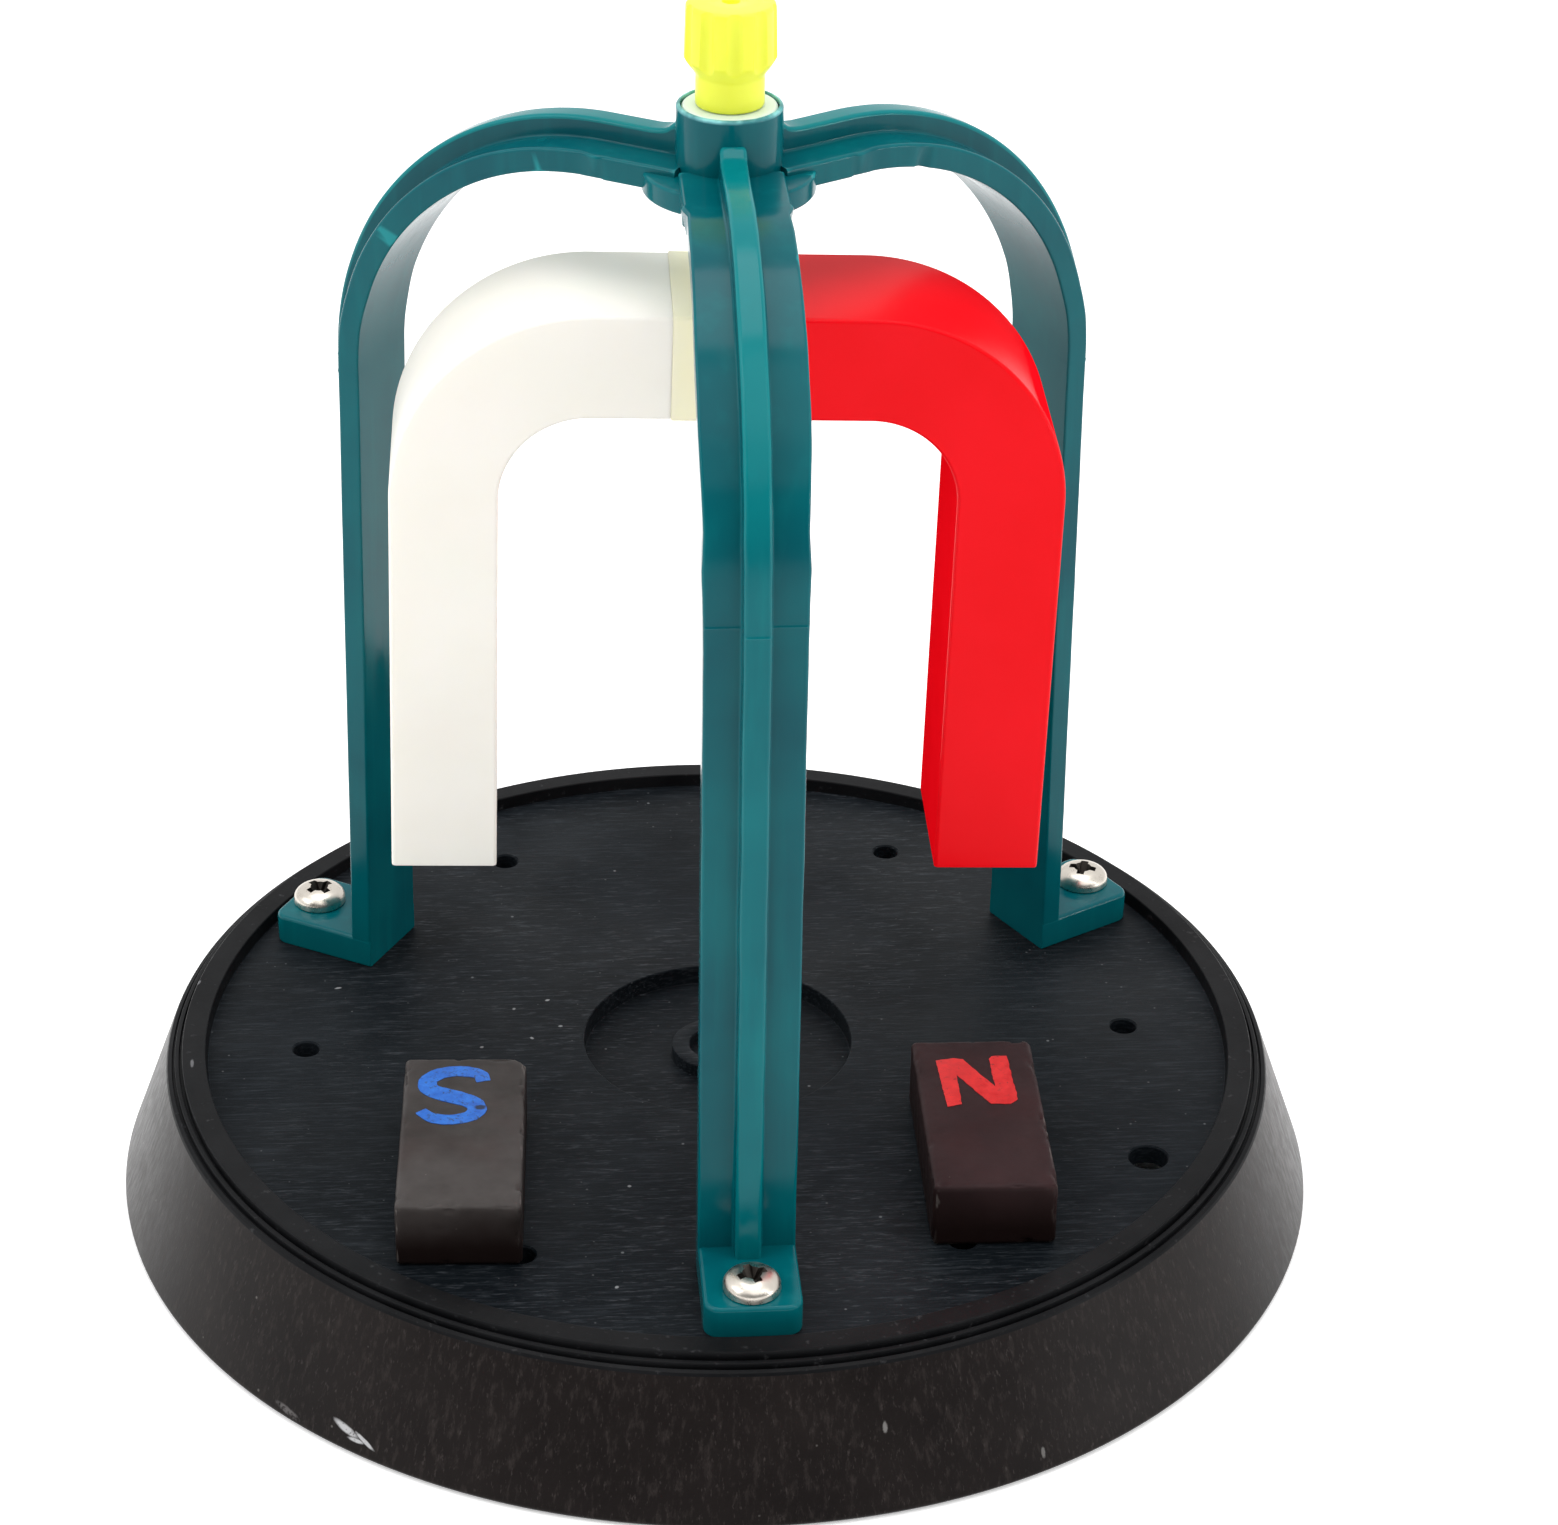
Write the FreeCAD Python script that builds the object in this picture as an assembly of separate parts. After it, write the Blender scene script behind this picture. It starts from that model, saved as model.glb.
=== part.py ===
import FreeCAD, Part
import os
import math

os.makedirs("parts", exist_ok=True)
V = FreeCAD.Vector

# Demonstration motor with a spinning horseshoe magnet: a round dished base, a one-piece
# three-legged frame, a yellow spindle that turns the two-colour magnet under the frame's hub,
# and two loose pole blocks lying on the base.
# Units are millimetres. Origin: centre of the base's bottom plane. +Z up.
# The front leg points to -Y, the other two to 150 and 30 degrees.

# ------------------------------------------------------------------ driving dimensions
# base
BASE_R_BOTTOM = 81.7        # outer radius of the skirt at the table
BASE_R_SHOULDER = 75.15     # outer radius where the skirt meets the rim steps
BASE_Z_SHOULDER = 18.4
RIM_R_OUT = 73.0            # flat top of the rim
RIM_R_IN = 69.8
RIM_Z = 20.5
FLOOR_Z = 18.5              # dished floor
FLOOR_R = 69.6
FLOOR_T = 2.7               # wall of the moulding under the floor
SKIRT_T = 2.6
RECESS_R = 18.35            # locating recess in the middle of the floor
RECESS_Z = 15.7
RECESS_T = 2.5
RING_R_IN = 3.9             # low locating ring in the middle of the recess
RING_R_OUT = 6.3
RING_Z = 17.55
SMALL_HOLE_R = 1.8          # six holes round the floor
SMALL_HOLE_PCR = 56.3
LARGE_HOLE_R = 2.6          # single larger hole
LARGE_HOLE_PCR = 63.3
LARGE_HOLE_AZ = -30.0
PILOT_R = 1.75              # pilot holes for the foot screws
SCREW_BOSS_R = 4.0
# tripod frame
LEG_AZ = (-90.0, 30.0, 150.0)
LEG_R_IN = 51.5             # inner face of a leg at the floor
LEG_SPLAY = 0.8             # the legs spread outwards going down, degrees
PLATE_T = 3.1               # thickness of a leg's plate
RIB_H = 2.8                 # outer rib, standing out of the plate
RIB_W = 3.3
ARCH_RI = 33.35             # inner radius of the arch
ARCH_Z_IN = 143.4           # underside of the arch at the hub
LEG_HALF = 6.16             # half width of the straight leg
ROOT_HALF = 6.78            # greatest half width, at the small lugs near the hub
# half width of the plate by height on the outer part, and by radius on the upper part
HALF_BY_Z = ((0.0, 6.16), (105.0, 6.16), (112.9, 6.25), (116.5, 6.38), (121.3, 6.15), (125.3, 5.97), (129.0, 5.85), (133.0, 5.77))
HALF_BY_R = ((0.0, 6.5), (14.4, 6.5), (15.2, 6.78), (17.3, 6.16), (22.0, 6.0), (31.0, 5.93), (39.0, 5.77), (75.0, 5.77))
FOOT_R_OUT = 67.5
FOOT_T = 4.4
FOOT_CORNER_R = 2.0
SCREW_PCR = 63.34
FOOT_HOLE_R = 2.0
HUB_R = 6.6
HUB_Z_TOP = 153.8
HUB_Z_BOT = 142.7
HUB_DISC_R = 10.74
HUB_DISC_T = 2.9
HUB_BORE_R = 3.85
HUB_CUP_R = 6.0
HUB_CUP_Z = 152.4
# screws
HEAD_R = 3.62
HEAD_H = 2.45
SHANK_R = 1.71
SHANK_L = 13.0
# bearing and rotor
AXLE_R = 2.0
RUN_CLEAR = 0.06
BUSH_FLANGE_R = 5.9
BUSH_Z_TOP = 153.7
BUSH_Z_BOT = 141.7
BUSH_R = 3.8
NECK_R = 4.24
KNOB_R = 5.68
KNOB_TOP_R = 5.5
KNOB_Z_BOT = 153.8
KNOB_Z_TAPER = 157.7        # underside of the grip, tapering out to its full radius
KNOB_Z_SHOULDER = 159.8
KNOB_Z_TOP = 166.7
KNOB_FLUTES = 10
KNOB_FLUTE_AZ = -88.8
KNOB_DIMPLE_R = 1.1
AXLE_Z_BOT = 128.3
AXLE_Z_TOP = 164.0
HOLDER_HALF = 7.5           # yellow holder, half length along the magnet's bridge
HOLDER_PROUD = 0.15
HOLDER_NECK_Z = 140.4
HOLDER_NECK_R = 4.0
WASHER_R = 4.9
PIN_R = 0.8
PIN_Z = 135.5
# horseshoe magnet
MAG_YAW = -1.3              # rest angle about the axis
MAG_LEAN = 1.1              # the magnet hangs slightly askew in its own plane, degrees
MAG_LEAN_Z = 107.2          # height of the point it leans about
MAG_HALF = 42.4             # half of the outer span
MAG_W = 13.65               # limb width
MAG_D = 21.4                # depth
MAG_Z_TOP = 130.0
MAG_Z_BOT = 52.15
MAG_R_OUT = 25.0            # outer corner radius
MAG_WALL = 2.0
MAG_EDGE = 0.5              # rounding of the long edges
POCKET_Z = 80.0
# pole blocks
BLOCK_W, BLOCK_L, BLOCK_H = 16.0, 33.8, 9.2
BLOCK_EDGE = 0.7
BLOCK_S = (-35.3, -34.0, -2.5)   # x, y, turn in degrees
BLOCK_N = (32.3, -33.2, -1.2)


# ------------------------------------------------------------------ helpers
def revolve(points):
    """Solid of revolution about Z from a closed (r, z) outline."""
    pts = [V(r, 0, z) for r, z in points]
    wire = Part.makePolygon(pts + [pts[0]])
    return Part.Face(wire).revolve(V(0, 0, 0), V(0, 0, 1), 360)


def cyl(r, z0, z1, x=0.0, y=0.0):
    return Part.makeCylinder(r, z1 - z0, V(x, y, z0), V(0, 0, 1))


def box(x0, x1, y0, y1, z0, z1):
    return Part.makeBox(x1 - x0, y1 - y0, z1 - z0, V(x0, y0, z0))


def turned(shape, deg):
    s = shape.copy()
    s.rotate(V(0, 0, 0), V(0, 0, 1), deg)
    return s


def polar(r, az):
    a = math.radians(az)
    return r * math.cos(a), r * math.sin(a)


def edges_where(shape, test):
    return [e for e in shape.Edges if test(e)]


def save(shape, name):
    shape = shape.removeSplitter() if len(shape.Solids) == 1 else shape
    print("%-16s solids %d  valid %s  volume %.1f  box %s" % (
        name, len(shape.Solids), shape.isValid(), shape.Volume,
        ["%.2f" % v for v in (shape.BoundBox.XMin, shape.BoundBox.XMax, shape.BoundBox.YMin,
                              shape.BoundBox.YMax, shape.BoundBox.ZMin, shape.BoundBox.ZMax)]))
    shape.exportStep("parts/%s.step" % name)
    return shape


# ------------------------------------------------------------------ base moulding
slope = (BASE_R_BOTTOM - BASE_R_SHOULDER) / BASE_Z_SHOULDER
under_z = FLOOR_Z - FLOOR_T
skirt_in = lambda z: BASE_R_BOTTOM - SKIRT_T - slope * z
base = revolve([
    (BASE_R_BOTTOM - 0.5, 0.0), (BASE_R_BOTTOM, 0.5),
    (BASE_R_SHOULDER, BASE_Z_SHOULDER), (74.95, 18.75),
    (74.35, 18.95), (74.35, 18.55), (74.0, 18.55),      # lower groove
    (74.0, 19.5), (73.4, 19.6), (73.4, 19.0), (RIM_R_OUT, 19.0),   # upper groove
    (RIM_R_OUT, RIM_Z - 0.15), (RIM_R_OUT - 0.2, RIM_Z),
    (RIM_R_IN + 0.2, RIM_Z), (RIM_R_IN, RIM_Z - 0.15),
    (FLOOR_R, FLOOR_Z),
    (RECESS_R + 0.2, FLOOR_Z), (RECESS_R, FLOOR_Z - 0.2),
    (RECESS_R, RECESS_Z), (RING_R_OUT, RECESS_Z), (RING_R_OUT, RING_Z - 0.2), (RING_R_OUT - 0.2, RING_Z),
    (RING_R_IN + 0.2, RING_Z), (RING_R_IN, RING_Z - 0.2), (RING_R_IN, RECESS_Z),
    (0.0, RECESS_Z), (0.0, RECESS_Z - RECESS_T),
    (RECESS_R + 2.6, RECESS_Z - RECESS_T), (RECESS_R + 2.6, under_z),
    (skirt_in(under_z), under_z), (skirt_in(0.0), 0.0)])
bosses = [cyl(SCREW_BOSS_R, 4.0, under_z + 0.5, *polar(SCREW_PCR, a)) for a in LEG_AZ]
# a web ties each screw boss to the skirt
webs = []
for a in LEG_AZ:
    w = box(SCREW_PCR, skirt_in(9.0) + 0.6, -0.9, 0.9, 4.0, under_z + 0.5)
    cone = Part.makeCone(skirt_in(0.0) + 0.8, skirt_in(under_z) + 0.8, under_z, V(0, 0, 0), V(0, 0, 1))
    webs.append(turned(w, a).common(cone.fuse(cyl(78, under_z - 0.1, under_z + 0.6))))
base = base.multiFuse(bosses + webs)
cuts = [cyl(PILOT_R, 6.0, FLOOR_Z + 1, *polar(SCREW_PCR, a)) for a in LEG_AZ]
cuts += [cyl(SMALL_HOLE_R, 10, FLOOR_Z + 1, *polar(SMALL_HOLE_PCR, 60.0 * i)) for i in range(6)]
cuts.append(cyl(SMALL_HOLE_R, 10, FLOOR_Z + 1))
cuts.append(cyl(LARGE_HOLE_R, 10, FLOOR_Z + 1, *polar(LARGE_HOLE_PCR, LARGE_HOLE_AZ)))
base = base.cut(Part.makeCompound(cuts))
base = save(base, "base_body")


# ------------------------------------------------------------------ tripod frame
SP = math.radians(LEG_SPLAY)
ARCH_ZC = ARCH_Z_IN - ARCH_RI           # arch centre, height
ARCH_RC = (math.cos(SP) * LEG_R_IN + math.sin(SP) * FLOOR_Z - ARCH_RI - ARCH_ZC * math.sin(SP)) / math.cos(SP)


def leg_x(offset, z):
    """Radius of the straight leg at a height, offset outwards from its inner face."""
    return ARCH_RC + (ARCH_RI + offset - (z - ARCH_ZC) * math.sin(SP)) / math.cos(SP)


def leg_offset(m):
    """How far a point lies outside the inner face of the leg."""
    dx, dz = m.x - ARCH_RC, m.z - ARCH_ZC
    if dx <= 0:
        return dz - ARCH_RI
    if dz > dx * math.tan(SP):
        return math.hypot(dx, dz) - ARCH_RI
    return dx * math.cos(SP) + dz * math.sin(SP) - ARCH_RI


def arch_solid(offset_in, offset_out, half, z_end, r_start):
    """Plate following a leg: from the hub, over the arch and down. Leg plane is XZ, width is Y."""
    ri = ARCH_RI + offset_in
    ro = ARCH_RI + offset_out
    c = V(ARCH_RC, 0, ARCH_ZC)
    end = math.pi / 2 - SP

    def pt(r, ang):
        return V(c.x + r * math.sin(ang), 0, c.z + r * math.cos(ang))
    x_i, x_o = leg_x(offset_in, z_end), leg_x(offset_out, z_end)
    e = []
    e.append(Part.LineSegment(V(r_start, 0, ARCH_ZC + ri), pt(ri, 0)).toShape())
    e.append(Part.Arc(pt(ri, 0), pt(ri, end / 2), pt(ri, end)).toShape())
    e.append(Part.LineSegment(pt(ri, end), V(x_i, 0, z_end)).toShape())
    e.append(Part.LineSegment(V(x_i, 0, z_end), V(x_o, 0, z_end)).toShape())
    e.append(Part.LineSegment(V(x_o, 0, z_end), pt(ro, end)).toShape())
    e.append(Part.Arc(pt(ro, end), pt(ro, end / 2), pt(ro, 0)).toShape())
    e.append(Part.LineSegment(pt(ro, 0), V(r_start, 0, ARCH_ZC + ro)).toShape())
    e.append(Part.LineSegment(V(r_start, 0, ARCH_ZC + ro), V(r_start, 0, ARCH_ZC + ri)).toShape())
    f = Part.Face(Part.Wire(e))
    f.translate(V(0, -half, 0))
    return f.extrude(V(0, 2 * half, 0))


def prism_xy(points, z0, z1):
    pts = [V(x, y, z0) for x, y in points]
    return Part.Face(Part.makePolygon(pts + [pts[0]])).extrude(V(0, 0, z1 - z0))


def prism_yz(points, x0, x1):
    pts = [V(x0, y, z) for y, z in points]
    return Part.Face(Part.makePolygon(pts + [pts[0]])).extrude(V(x1 - x0, 0, 0))


def side_cutters():
    """Material beside the plate: leaves the leg, the narrower arch and the wider root."""
    out = []
    z_split = HALF_BY_Z[-1][0]
    for s in (1, -1):
        low = [(s * h, z) for z, h in HALF_BY_Z]
        out.append(prism_yz(low + [(s * 9, z_split), (s * 9, 0)], 30, 75))
        up = [(r, s * h) for r, h in HALF_BY_R]
        out.append(prism_xy(up + [(75, s * 9), (0, s * 9)], z_split - 0.01, 160))
    return out


plate = arch_solid(0.0, PLATE_T, ROOT_HALF + 0.2, FLOOR_Z, 4.6)
plate = plate.cut(Part.makeCompound(side_cutters())).removeSplitter()
# the long edges of the plate are slightly rounded
long_edges = []
for e in plate.Edges:
    m = e.valueAt((e.FirstParameter + e.LastParameter) / 2)
    if abs(abs(m.y) - LEG_HALF) < 0.02 and FLOOR_Z + 5 < m.z < 105.0:
        long_edges.append(e)
try:
    plate_f = plate.makeFillet(0.35, long_edges)
    if plate_f.isValid():
        plate = plate_f
except Exception as err:
    print("plate edges left sharp:", err)

rib = arch_solid(PLATE_T - 0.6, PLATE_T + RIB_H, RIB_W / 2, FLOOR_Z + FOOT_T - 0.2, 4.6)
rib_edges = []
for e in rib.Edges:
    m = e.valueAt((e.FirstParameter + e.LastParameter) / 2)
    if abs(abs(m.y) - RIB_W / 2) > 0.01:
        continue
    if abs(leg_offset(m) - PLATE_T - RIB_H) < 0.05:
        rib_edges.append(e)
try:
    rib_f = rib.makeFillet(0.5, rib_edges)
    if rib_f.isValid():
        rib = rib_f
except Exception as err:
    print("rib edges left sharp:", err)

# the rib runs up the hub in a small blend
blend = [(5.5, 148.6), (9.9, 148.6), (9.9, 149.3), (8.3, 149.5), (7.4, 149.95), (6.9, 150.6), (5.5, 150.6)]
blend = Part.Face(Part.makePolygon([V(x, -1.35, z) for x, z in blend + blend[:1]])).extrude(V(0, 2.7, 0))

foot = box(LEG_R_IN, FOOT_R_OUT, -LEG_HALF, LEG_HALF, FLOOR_Z, FLOOR_Z + FOOT_T)
corner = edges_where(foot, lambda e: abs(e.BoundBox.ZLength - FOOT_T) < 0.01 and abs(e.BoundBox.XMin - FOOT_R_OUT) < 0.01)
foot = foot.makeFillet(FOOT_CORNER_R, corner)
top = edges_where(foot, lambda e: e.BoundBox.ZMin > FLOOR_Z + FOOT_T - 0.01 and e.BoundBox.XMax > LEG_R_IN + 0.5)
foot = foot.makeFillet(0.4, top)

leg = plate.multiFuse([rib, foot, blend])
hub = cyl(HUB_R, HUB_Z_BOT, HUB_Z_TOP)
hub = hub.makeFillet(0.4, edges_where(hub, lambda e: e.BoundBox.ZMin > HUB_Z_TOP - 0.01))
disc = cyl(HUB_DISC_R, HUB_Z_BOT, HUB_Z_BOT + HUB_DISC_T)
disc = disc.makeFillet(0.4, edges_where(disc, lambda e: e.BoundBox.XLength > 1))
frame = hub.multiFuse([disc] + [turned(leg, a) for a in LEG_AZ])
cuts = [cyl(HUB_BORE_R, HUB_Z_BOT - 1, HUB_Z_TOP + 1), cyl(HUB_CUP_R, HUB_CUP_Z, HUB_Z_TOP + 1)]
cuts += [cyl(FOOT_HOLE_R, FLOOR_Z - 1, FLOOR_Z + FOOT_T + 1, *polar(SCREW_PCR, a)) for a in LEG_AZ]
frame = frame.cut(Part.makeCompound(cuts))
frame = save(frame, "tripod_frame")


# ------------------------------------------------------------------ foot screws
def screw():
    z0 = FLOOR_Z + FOOT_T
    # pan head with a rounded top
    a = V(HEAD_R, 0, z0 + 0.9)
    mid = V(HEAD_R * 0.84, 0, z0 + HEAD_H * 0.80)
    b = V(HEAD_R * 0.45, 0, z0 + HEAD_H)
    e = [Part.LineSegment(V(0, 0, z0), V(HEAD_R - 0.15, 0, z0)).toShape(),
         Part.LineSegment(V(HEAD_R - 0.15, 0, z0), V(HEAD_R, 0, z0 + 0.15)).toShape(),
         Part.LineSegment(V(HEAD_R, 0, z0 + 0.15), a).toShape(),
         Part.Arc(a, mid, b).toShape(),
         Part.LineSegment(b, V(0, 0, z0 + HEAD_H)).toShape(),
         Part.LineSegment(V(0, 0, z0 + HEAD_H), V(0, 0, z0)).toShape()]
    head = Part.Face(Part.Wire(e)).revolve(V(0, 0, 0), V(0, 0, 1), 360)
    shank = revolve([(0, z0 - SHANK_L), (0.25, z0 - SHANK_L), (SHANK_R, z0 - SHANK_L + 2.2), (SHANK_R, z0 + 0.2), (0, z0 + 0.2)])
    s = head.fuse(shank)
    # cross recess, narrowing downwards
    zt = z0 + HEAD_H + 0.05
    wings = []
    for k in range(2):
        prof = [V(-1.95, 0, zt), V(1.95, 0, zt), V(0.75, 0, zt - 1.6), V(-0.75, 0, zt - 1.6)]
        f = Part.Face(Part.makePolygon(prof + [prof[0]]))
        f.translate(V(0, -0.45, 0))
        w = f.extrude(V(0, 0.9, 0))
        wings.append(turned(w, 90.0 * k))
    core = Part.makeCone(0.55, 1.15, 1.7, V(0, 0, zt - 1.7), V(0, 0, 1))
    return s.cut(wings[0].multiFuse([wings[1], core]))


screws = []
for a, turn in zip(LEG_AZ, (22.0, 70.0, 38.0)):
    s = turned(screw(), turn)
    x, y = polar(SCREW_PCR, a)
    s.translate(V(x, y, 0))
    screws.append(s)
save(Part.makeCompound(screws), "foot_screws")

# ------------------------------------------------------------------ bearing bush in the hub
bush = revolve([
    (AXLE_R + RUN_CLEAR, BUSH_Z_BOT), (BUSH_R - 0.2, BUSH_Z_BOT), (BUSH_R, BUSH_Z_BOT + 0.2), (BUSH_R, HUB_CUP_Z),
    (BUSH_FLANGE_R, HUB_CUP_Z), (BUSH_FLANGE_R, BUSH_Z_TOP - 0.35), (BUSH_FLANGE_R - 0.35, BUSH_Z_TOP),
    (AXLE_R + RUN_CLEAR, BUSH_Z_TOP)])
save(bush, "hub_bush")

# ------------------------------------------------------------------ rotor: knob, axle, washer, holder, pin
knob_pts = [(0, KNOB_Z_BOT), (NECK_R - 0.2, KNOB_Z_BOT), (NECK_R, KNOB_Z_BOT + 0.2), (NECK_R, KNOB_Z_TAPER),
            (KNOB_R - 0.15, KNOB_Z_SHOULDER - 0.2), (KNOB_R, KNOB_Z_SHOULDER + 0.1), (KNOB_TOP_R, KNOB_Z_TOP - 0.6)]
for k in range(1, 7):
    t = math.radians(15.0 * k)
    knob_pts.append((KNOB_TOP_R - 0.6 + 0.6 * math.cos(t), KNOB_Z_TOP - 0.6 + 0.6 * math.sin(t)))
knob_pts.append((0, KNOB_Z_TOP))
knob = revolve(knob_pts)
flutes = []
for i in range(KNOB_FLUTES):
    x, y = polar(KNOB_R + 0.6, KNOB_FLUTE_AZ + 360.0 * i / KNOB_FLUTES)
    flutes.append(cyl(1.25, KNOB_Z_TAPER - 0.5, KNOB_Z_TOP + 1, x, y))
knob = knob.cut(Part.makeCompound(flutes))
knob = knob.cut(Part.makeCompound([cyl(AXLE_R + 0.03, KNOB_Z_BOT - 1, AXLE_Z_TOP + 0.3),
                                   cyl(KNOB_DIMPLE_R, KNOB_Z_TOP - 1.2, KNOB_Z_TOP + 1)]))
save(knob, "finger_knob")

axle = revolve([(0, AXLE_Z_BOT), (AXLE_R - 0.3, AXLE_Z_BOT), (AXLE_R, AXLE_Z_BOT + 0.3), (AXLE_R, AXLE_Z_TOP - 0.3),
                (AXLE_R - 0.3, AXLE_Z_TOP), (0, AXLE_Z_TOP)])
pin_hole = Part.makeCylinder(PIN_R + 0.03, 12, V(0, -6, PIN_Z), V(0, 1, 0))
axle = turned(axle.cut(pin_hole), MAG_YAW)
save(axle, "axle")

washer = revolve([(AXLE_R + 0.12, HOLDER_NECK_Z + 0.05), (WASHER_R, HOLDER_NECK_Z + 0.05), (WASHER_R, HOLDER_NECK_Z + 0.95),
                  (AXLE_R + 0.12, HOLDER_NECK_Z + 0.95)])
save(washer, "thrust_washer")


def lean(shape):
    """The magnet and its sleeve hang slightly askew; the neck, pin and axle stay upright."""
    s = shape.copy()
    s.rotate(V(0, 0, MAG_LEAN_Z), V(0, 1, 0), MAG_LEAN)
    return s


z_mid_lo, z_mid_hi = MAG_Z_TOP - MAG_W, MAG_Z_TOP
tun_y = MAG_D / 2 - MAG_WALL
tun_z0, tun_z1 = z_mid_lo + MAG_WALL, z_mid_hi - MAG_WALL
holder = box(-HOLDER_HALF, HOLDER_HALF, -MAG_D / 2 - HOLDER_PROUD, MAG_D / 2 + HOLDER_PROUD,
             z_mid_lo - HOLDER_PROUD, z_mid_hi + HOLDER_PROUD)
holder = holder.makeFillet(MAG_EDGE, edges_where(holder, lambda e: e.BoundBox.XLength > 2 * HOLDER_HALF - 0.1))
holder = lean(holder.cut(box(-20, 20, -tun_y, tun_y, tun_z0, tun_z1)))
neck = cyl(HOLDER_NECK_R, z_mid_hi - 0.8, HOLDER_NECK_Z)
holder = holder.fuse(neck)
holder = holder.cut(Part.makeCompound([
    lean(box(-20, 20, -tun_y, tun_y, tun_z0, tun_z1)),
    cyl(AXLE_R + 0.03, AXLE_Z_BOT - 0.6, HOLDER_NECK_Z + 1),
    pin_hole]))
holder = turned(holder, MAG_YAW)
save(holder, "magnet_holder")

pin = Part.makeCylinder(PIN_R, 7.6, V(0, -3.8, PIN_Z), V(0, 1, 0))
pin = pin.makeFillet(0.2, [e for e in pin.Edges if e.BoundBox.YLength < 0.01])
save(turned(pin, MAG_YAW), "holder_pin")


# ------------------------------------------------------------------ horseshoe magnet, two halves
def magnet_half():
    """The +X half: bridge, rounded corner and limb, with a tongue for the holder."""
    xc, zc = MAG_HALF - MAG_R_OUT, MAG_Z_TOP - MAG_R_OUT
    ri = MAG_R_OUT - MAG_W
    q = math.sqrt(0.5)
    x0 = HOLDER_HALF + 0.02
    e = []

    def line(a, b):
        e.append(Part.LineSegment(V(a[0], 0, a[1]), V(b[0], 0, b[1])).toShape())
    line((x0, z_mid_hi), (xc, z_mid_hi))
    e.append(Part.Arc(V(xc, 0, MAG_Z_TOP), V(xc + MAG_R_OUT * q, 0, zc + MAG_R_OUT * q), V(MAG_HALF, 0, zc)).toShape())
    line((MAG_HALF, zc), (MAG_HALF, MAG_Z_BOT))
    line((MAG_HALF, MAG_Z_BOT), (MAG_HALF - MAG_W, MAG_Z_BOT))
    line((MAG_HALF - MAG_W, MAG_Z_BOT), (MAG_HALF - MAG_W, zc))
    e.append(Part.Arc(V(xc + ri, 0, zc), V(xc + ri * q, 0, zc + ri * q), V(xc, 0, zc + ri)).toShape())
    line((xc, z_mid_lo), (x0, z_mid_lo))
    line((x0, z_mid_lo), (x0, z_mid_hi))
    f = Part.Face(Part.Wire(e))
    f.translate(V(0, -MAG_D / 2, 0))
    body = f.extrude(V(0, MAG_D, 0))

    def long_edge(ed):
        bb = ed.BoundBox
        if bb.YLength > 0.01:
            return False
        m = ed.valueAt((ed.FirstParameter + ed.LastParameter) / 2)
        return m.x > x0 + 0.1 and m.z > MAG_Z_BOT + 0.1
    body = body.makeFillet(MAG_EDGE, edges_where(body, long_edge))
    c = 0.12
    tongue = box(0.06, x0 + 1.0, -tun_y + c, tun_y - c, tun_z0 + c, tun_z1 - c)
    body = body.fuse(tongue)
    # pocket for the pole magnet, open at the pole end
    px0, px1 = MAG_HALF - MAG_W + MAG_WALL, MAG_HALF - MAG_WALL
    pocket = box(px0, px1, -tun_y, tun_y, MAG_Z_BOT - 1, POCKET_Z)
    body = body.cut(pocket)
    c2 = 0.1
    magnet = box(px0 + c2, px1 - c2, -tun_y + c2, tun_y - c2, MAG_Z_BOT + 1.75, POCKET_Z - 0.5)
    cap = box(px0 + c2, px1 - c2, -tun_y + c2, tun_y - c2, MAG_Z_BOT, MAG_Z_BOT + 1.6)
    return body, magnet, cap


half, pole, cap = magnet_half()
for tag, flip in (("red", 0.0), ("white", 180.0)):
    save(turned(lean(turned(half, flip)), MAG_YAW), "magnet_half_" + tag)
    save(turned(lean(turned(pole, flip)), MAG_YAW), "pole_magnet_" + tag)
    save(turned(lean(turned(cap, flip)), MAG_YAW), "pole_cap_" + tag)


# ------------------------------------------------------------------ loose pole blocks
def block(place):
    b = box(-BLOCK_W / 2, BLOCK_W / 2, -BLOCK_L / 2, BLOCK_L / 2, FLOOR_Z, FLOOR_Z + BLOCK_H)
    b = b.makeFillet(BLOCK_EDGE, [e for e in b.Edges])
    b = turned(b, place[2])
    b.translate(V(place[0], place[1], 0))
    return b


save(block(BLOCK_S), "pole_block_s")
save(block(BLOCK_N), "pole_block_n")
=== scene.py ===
import bpy
import bmesh
import math
import numpy as np
from mathutils import Matrix, Vector, noise


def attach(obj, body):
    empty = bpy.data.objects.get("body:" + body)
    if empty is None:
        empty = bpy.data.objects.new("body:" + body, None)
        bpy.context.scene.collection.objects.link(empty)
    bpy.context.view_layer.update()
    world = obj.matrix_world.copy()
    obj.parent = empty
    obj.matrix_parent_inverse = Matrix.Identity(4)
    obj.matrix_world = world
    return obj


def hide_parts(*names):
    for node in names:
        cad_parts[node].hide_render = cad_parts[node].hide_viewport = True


# Looks of the demonstration motor: a black dished base, a teal three-legged frame, a yellow finger
# knob, a red and cream horseshoe magnet and two loose pole blocks. Shapes are worked out in
# millimetres, in the part's own frame, and written to the meshes in metres.

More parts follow.
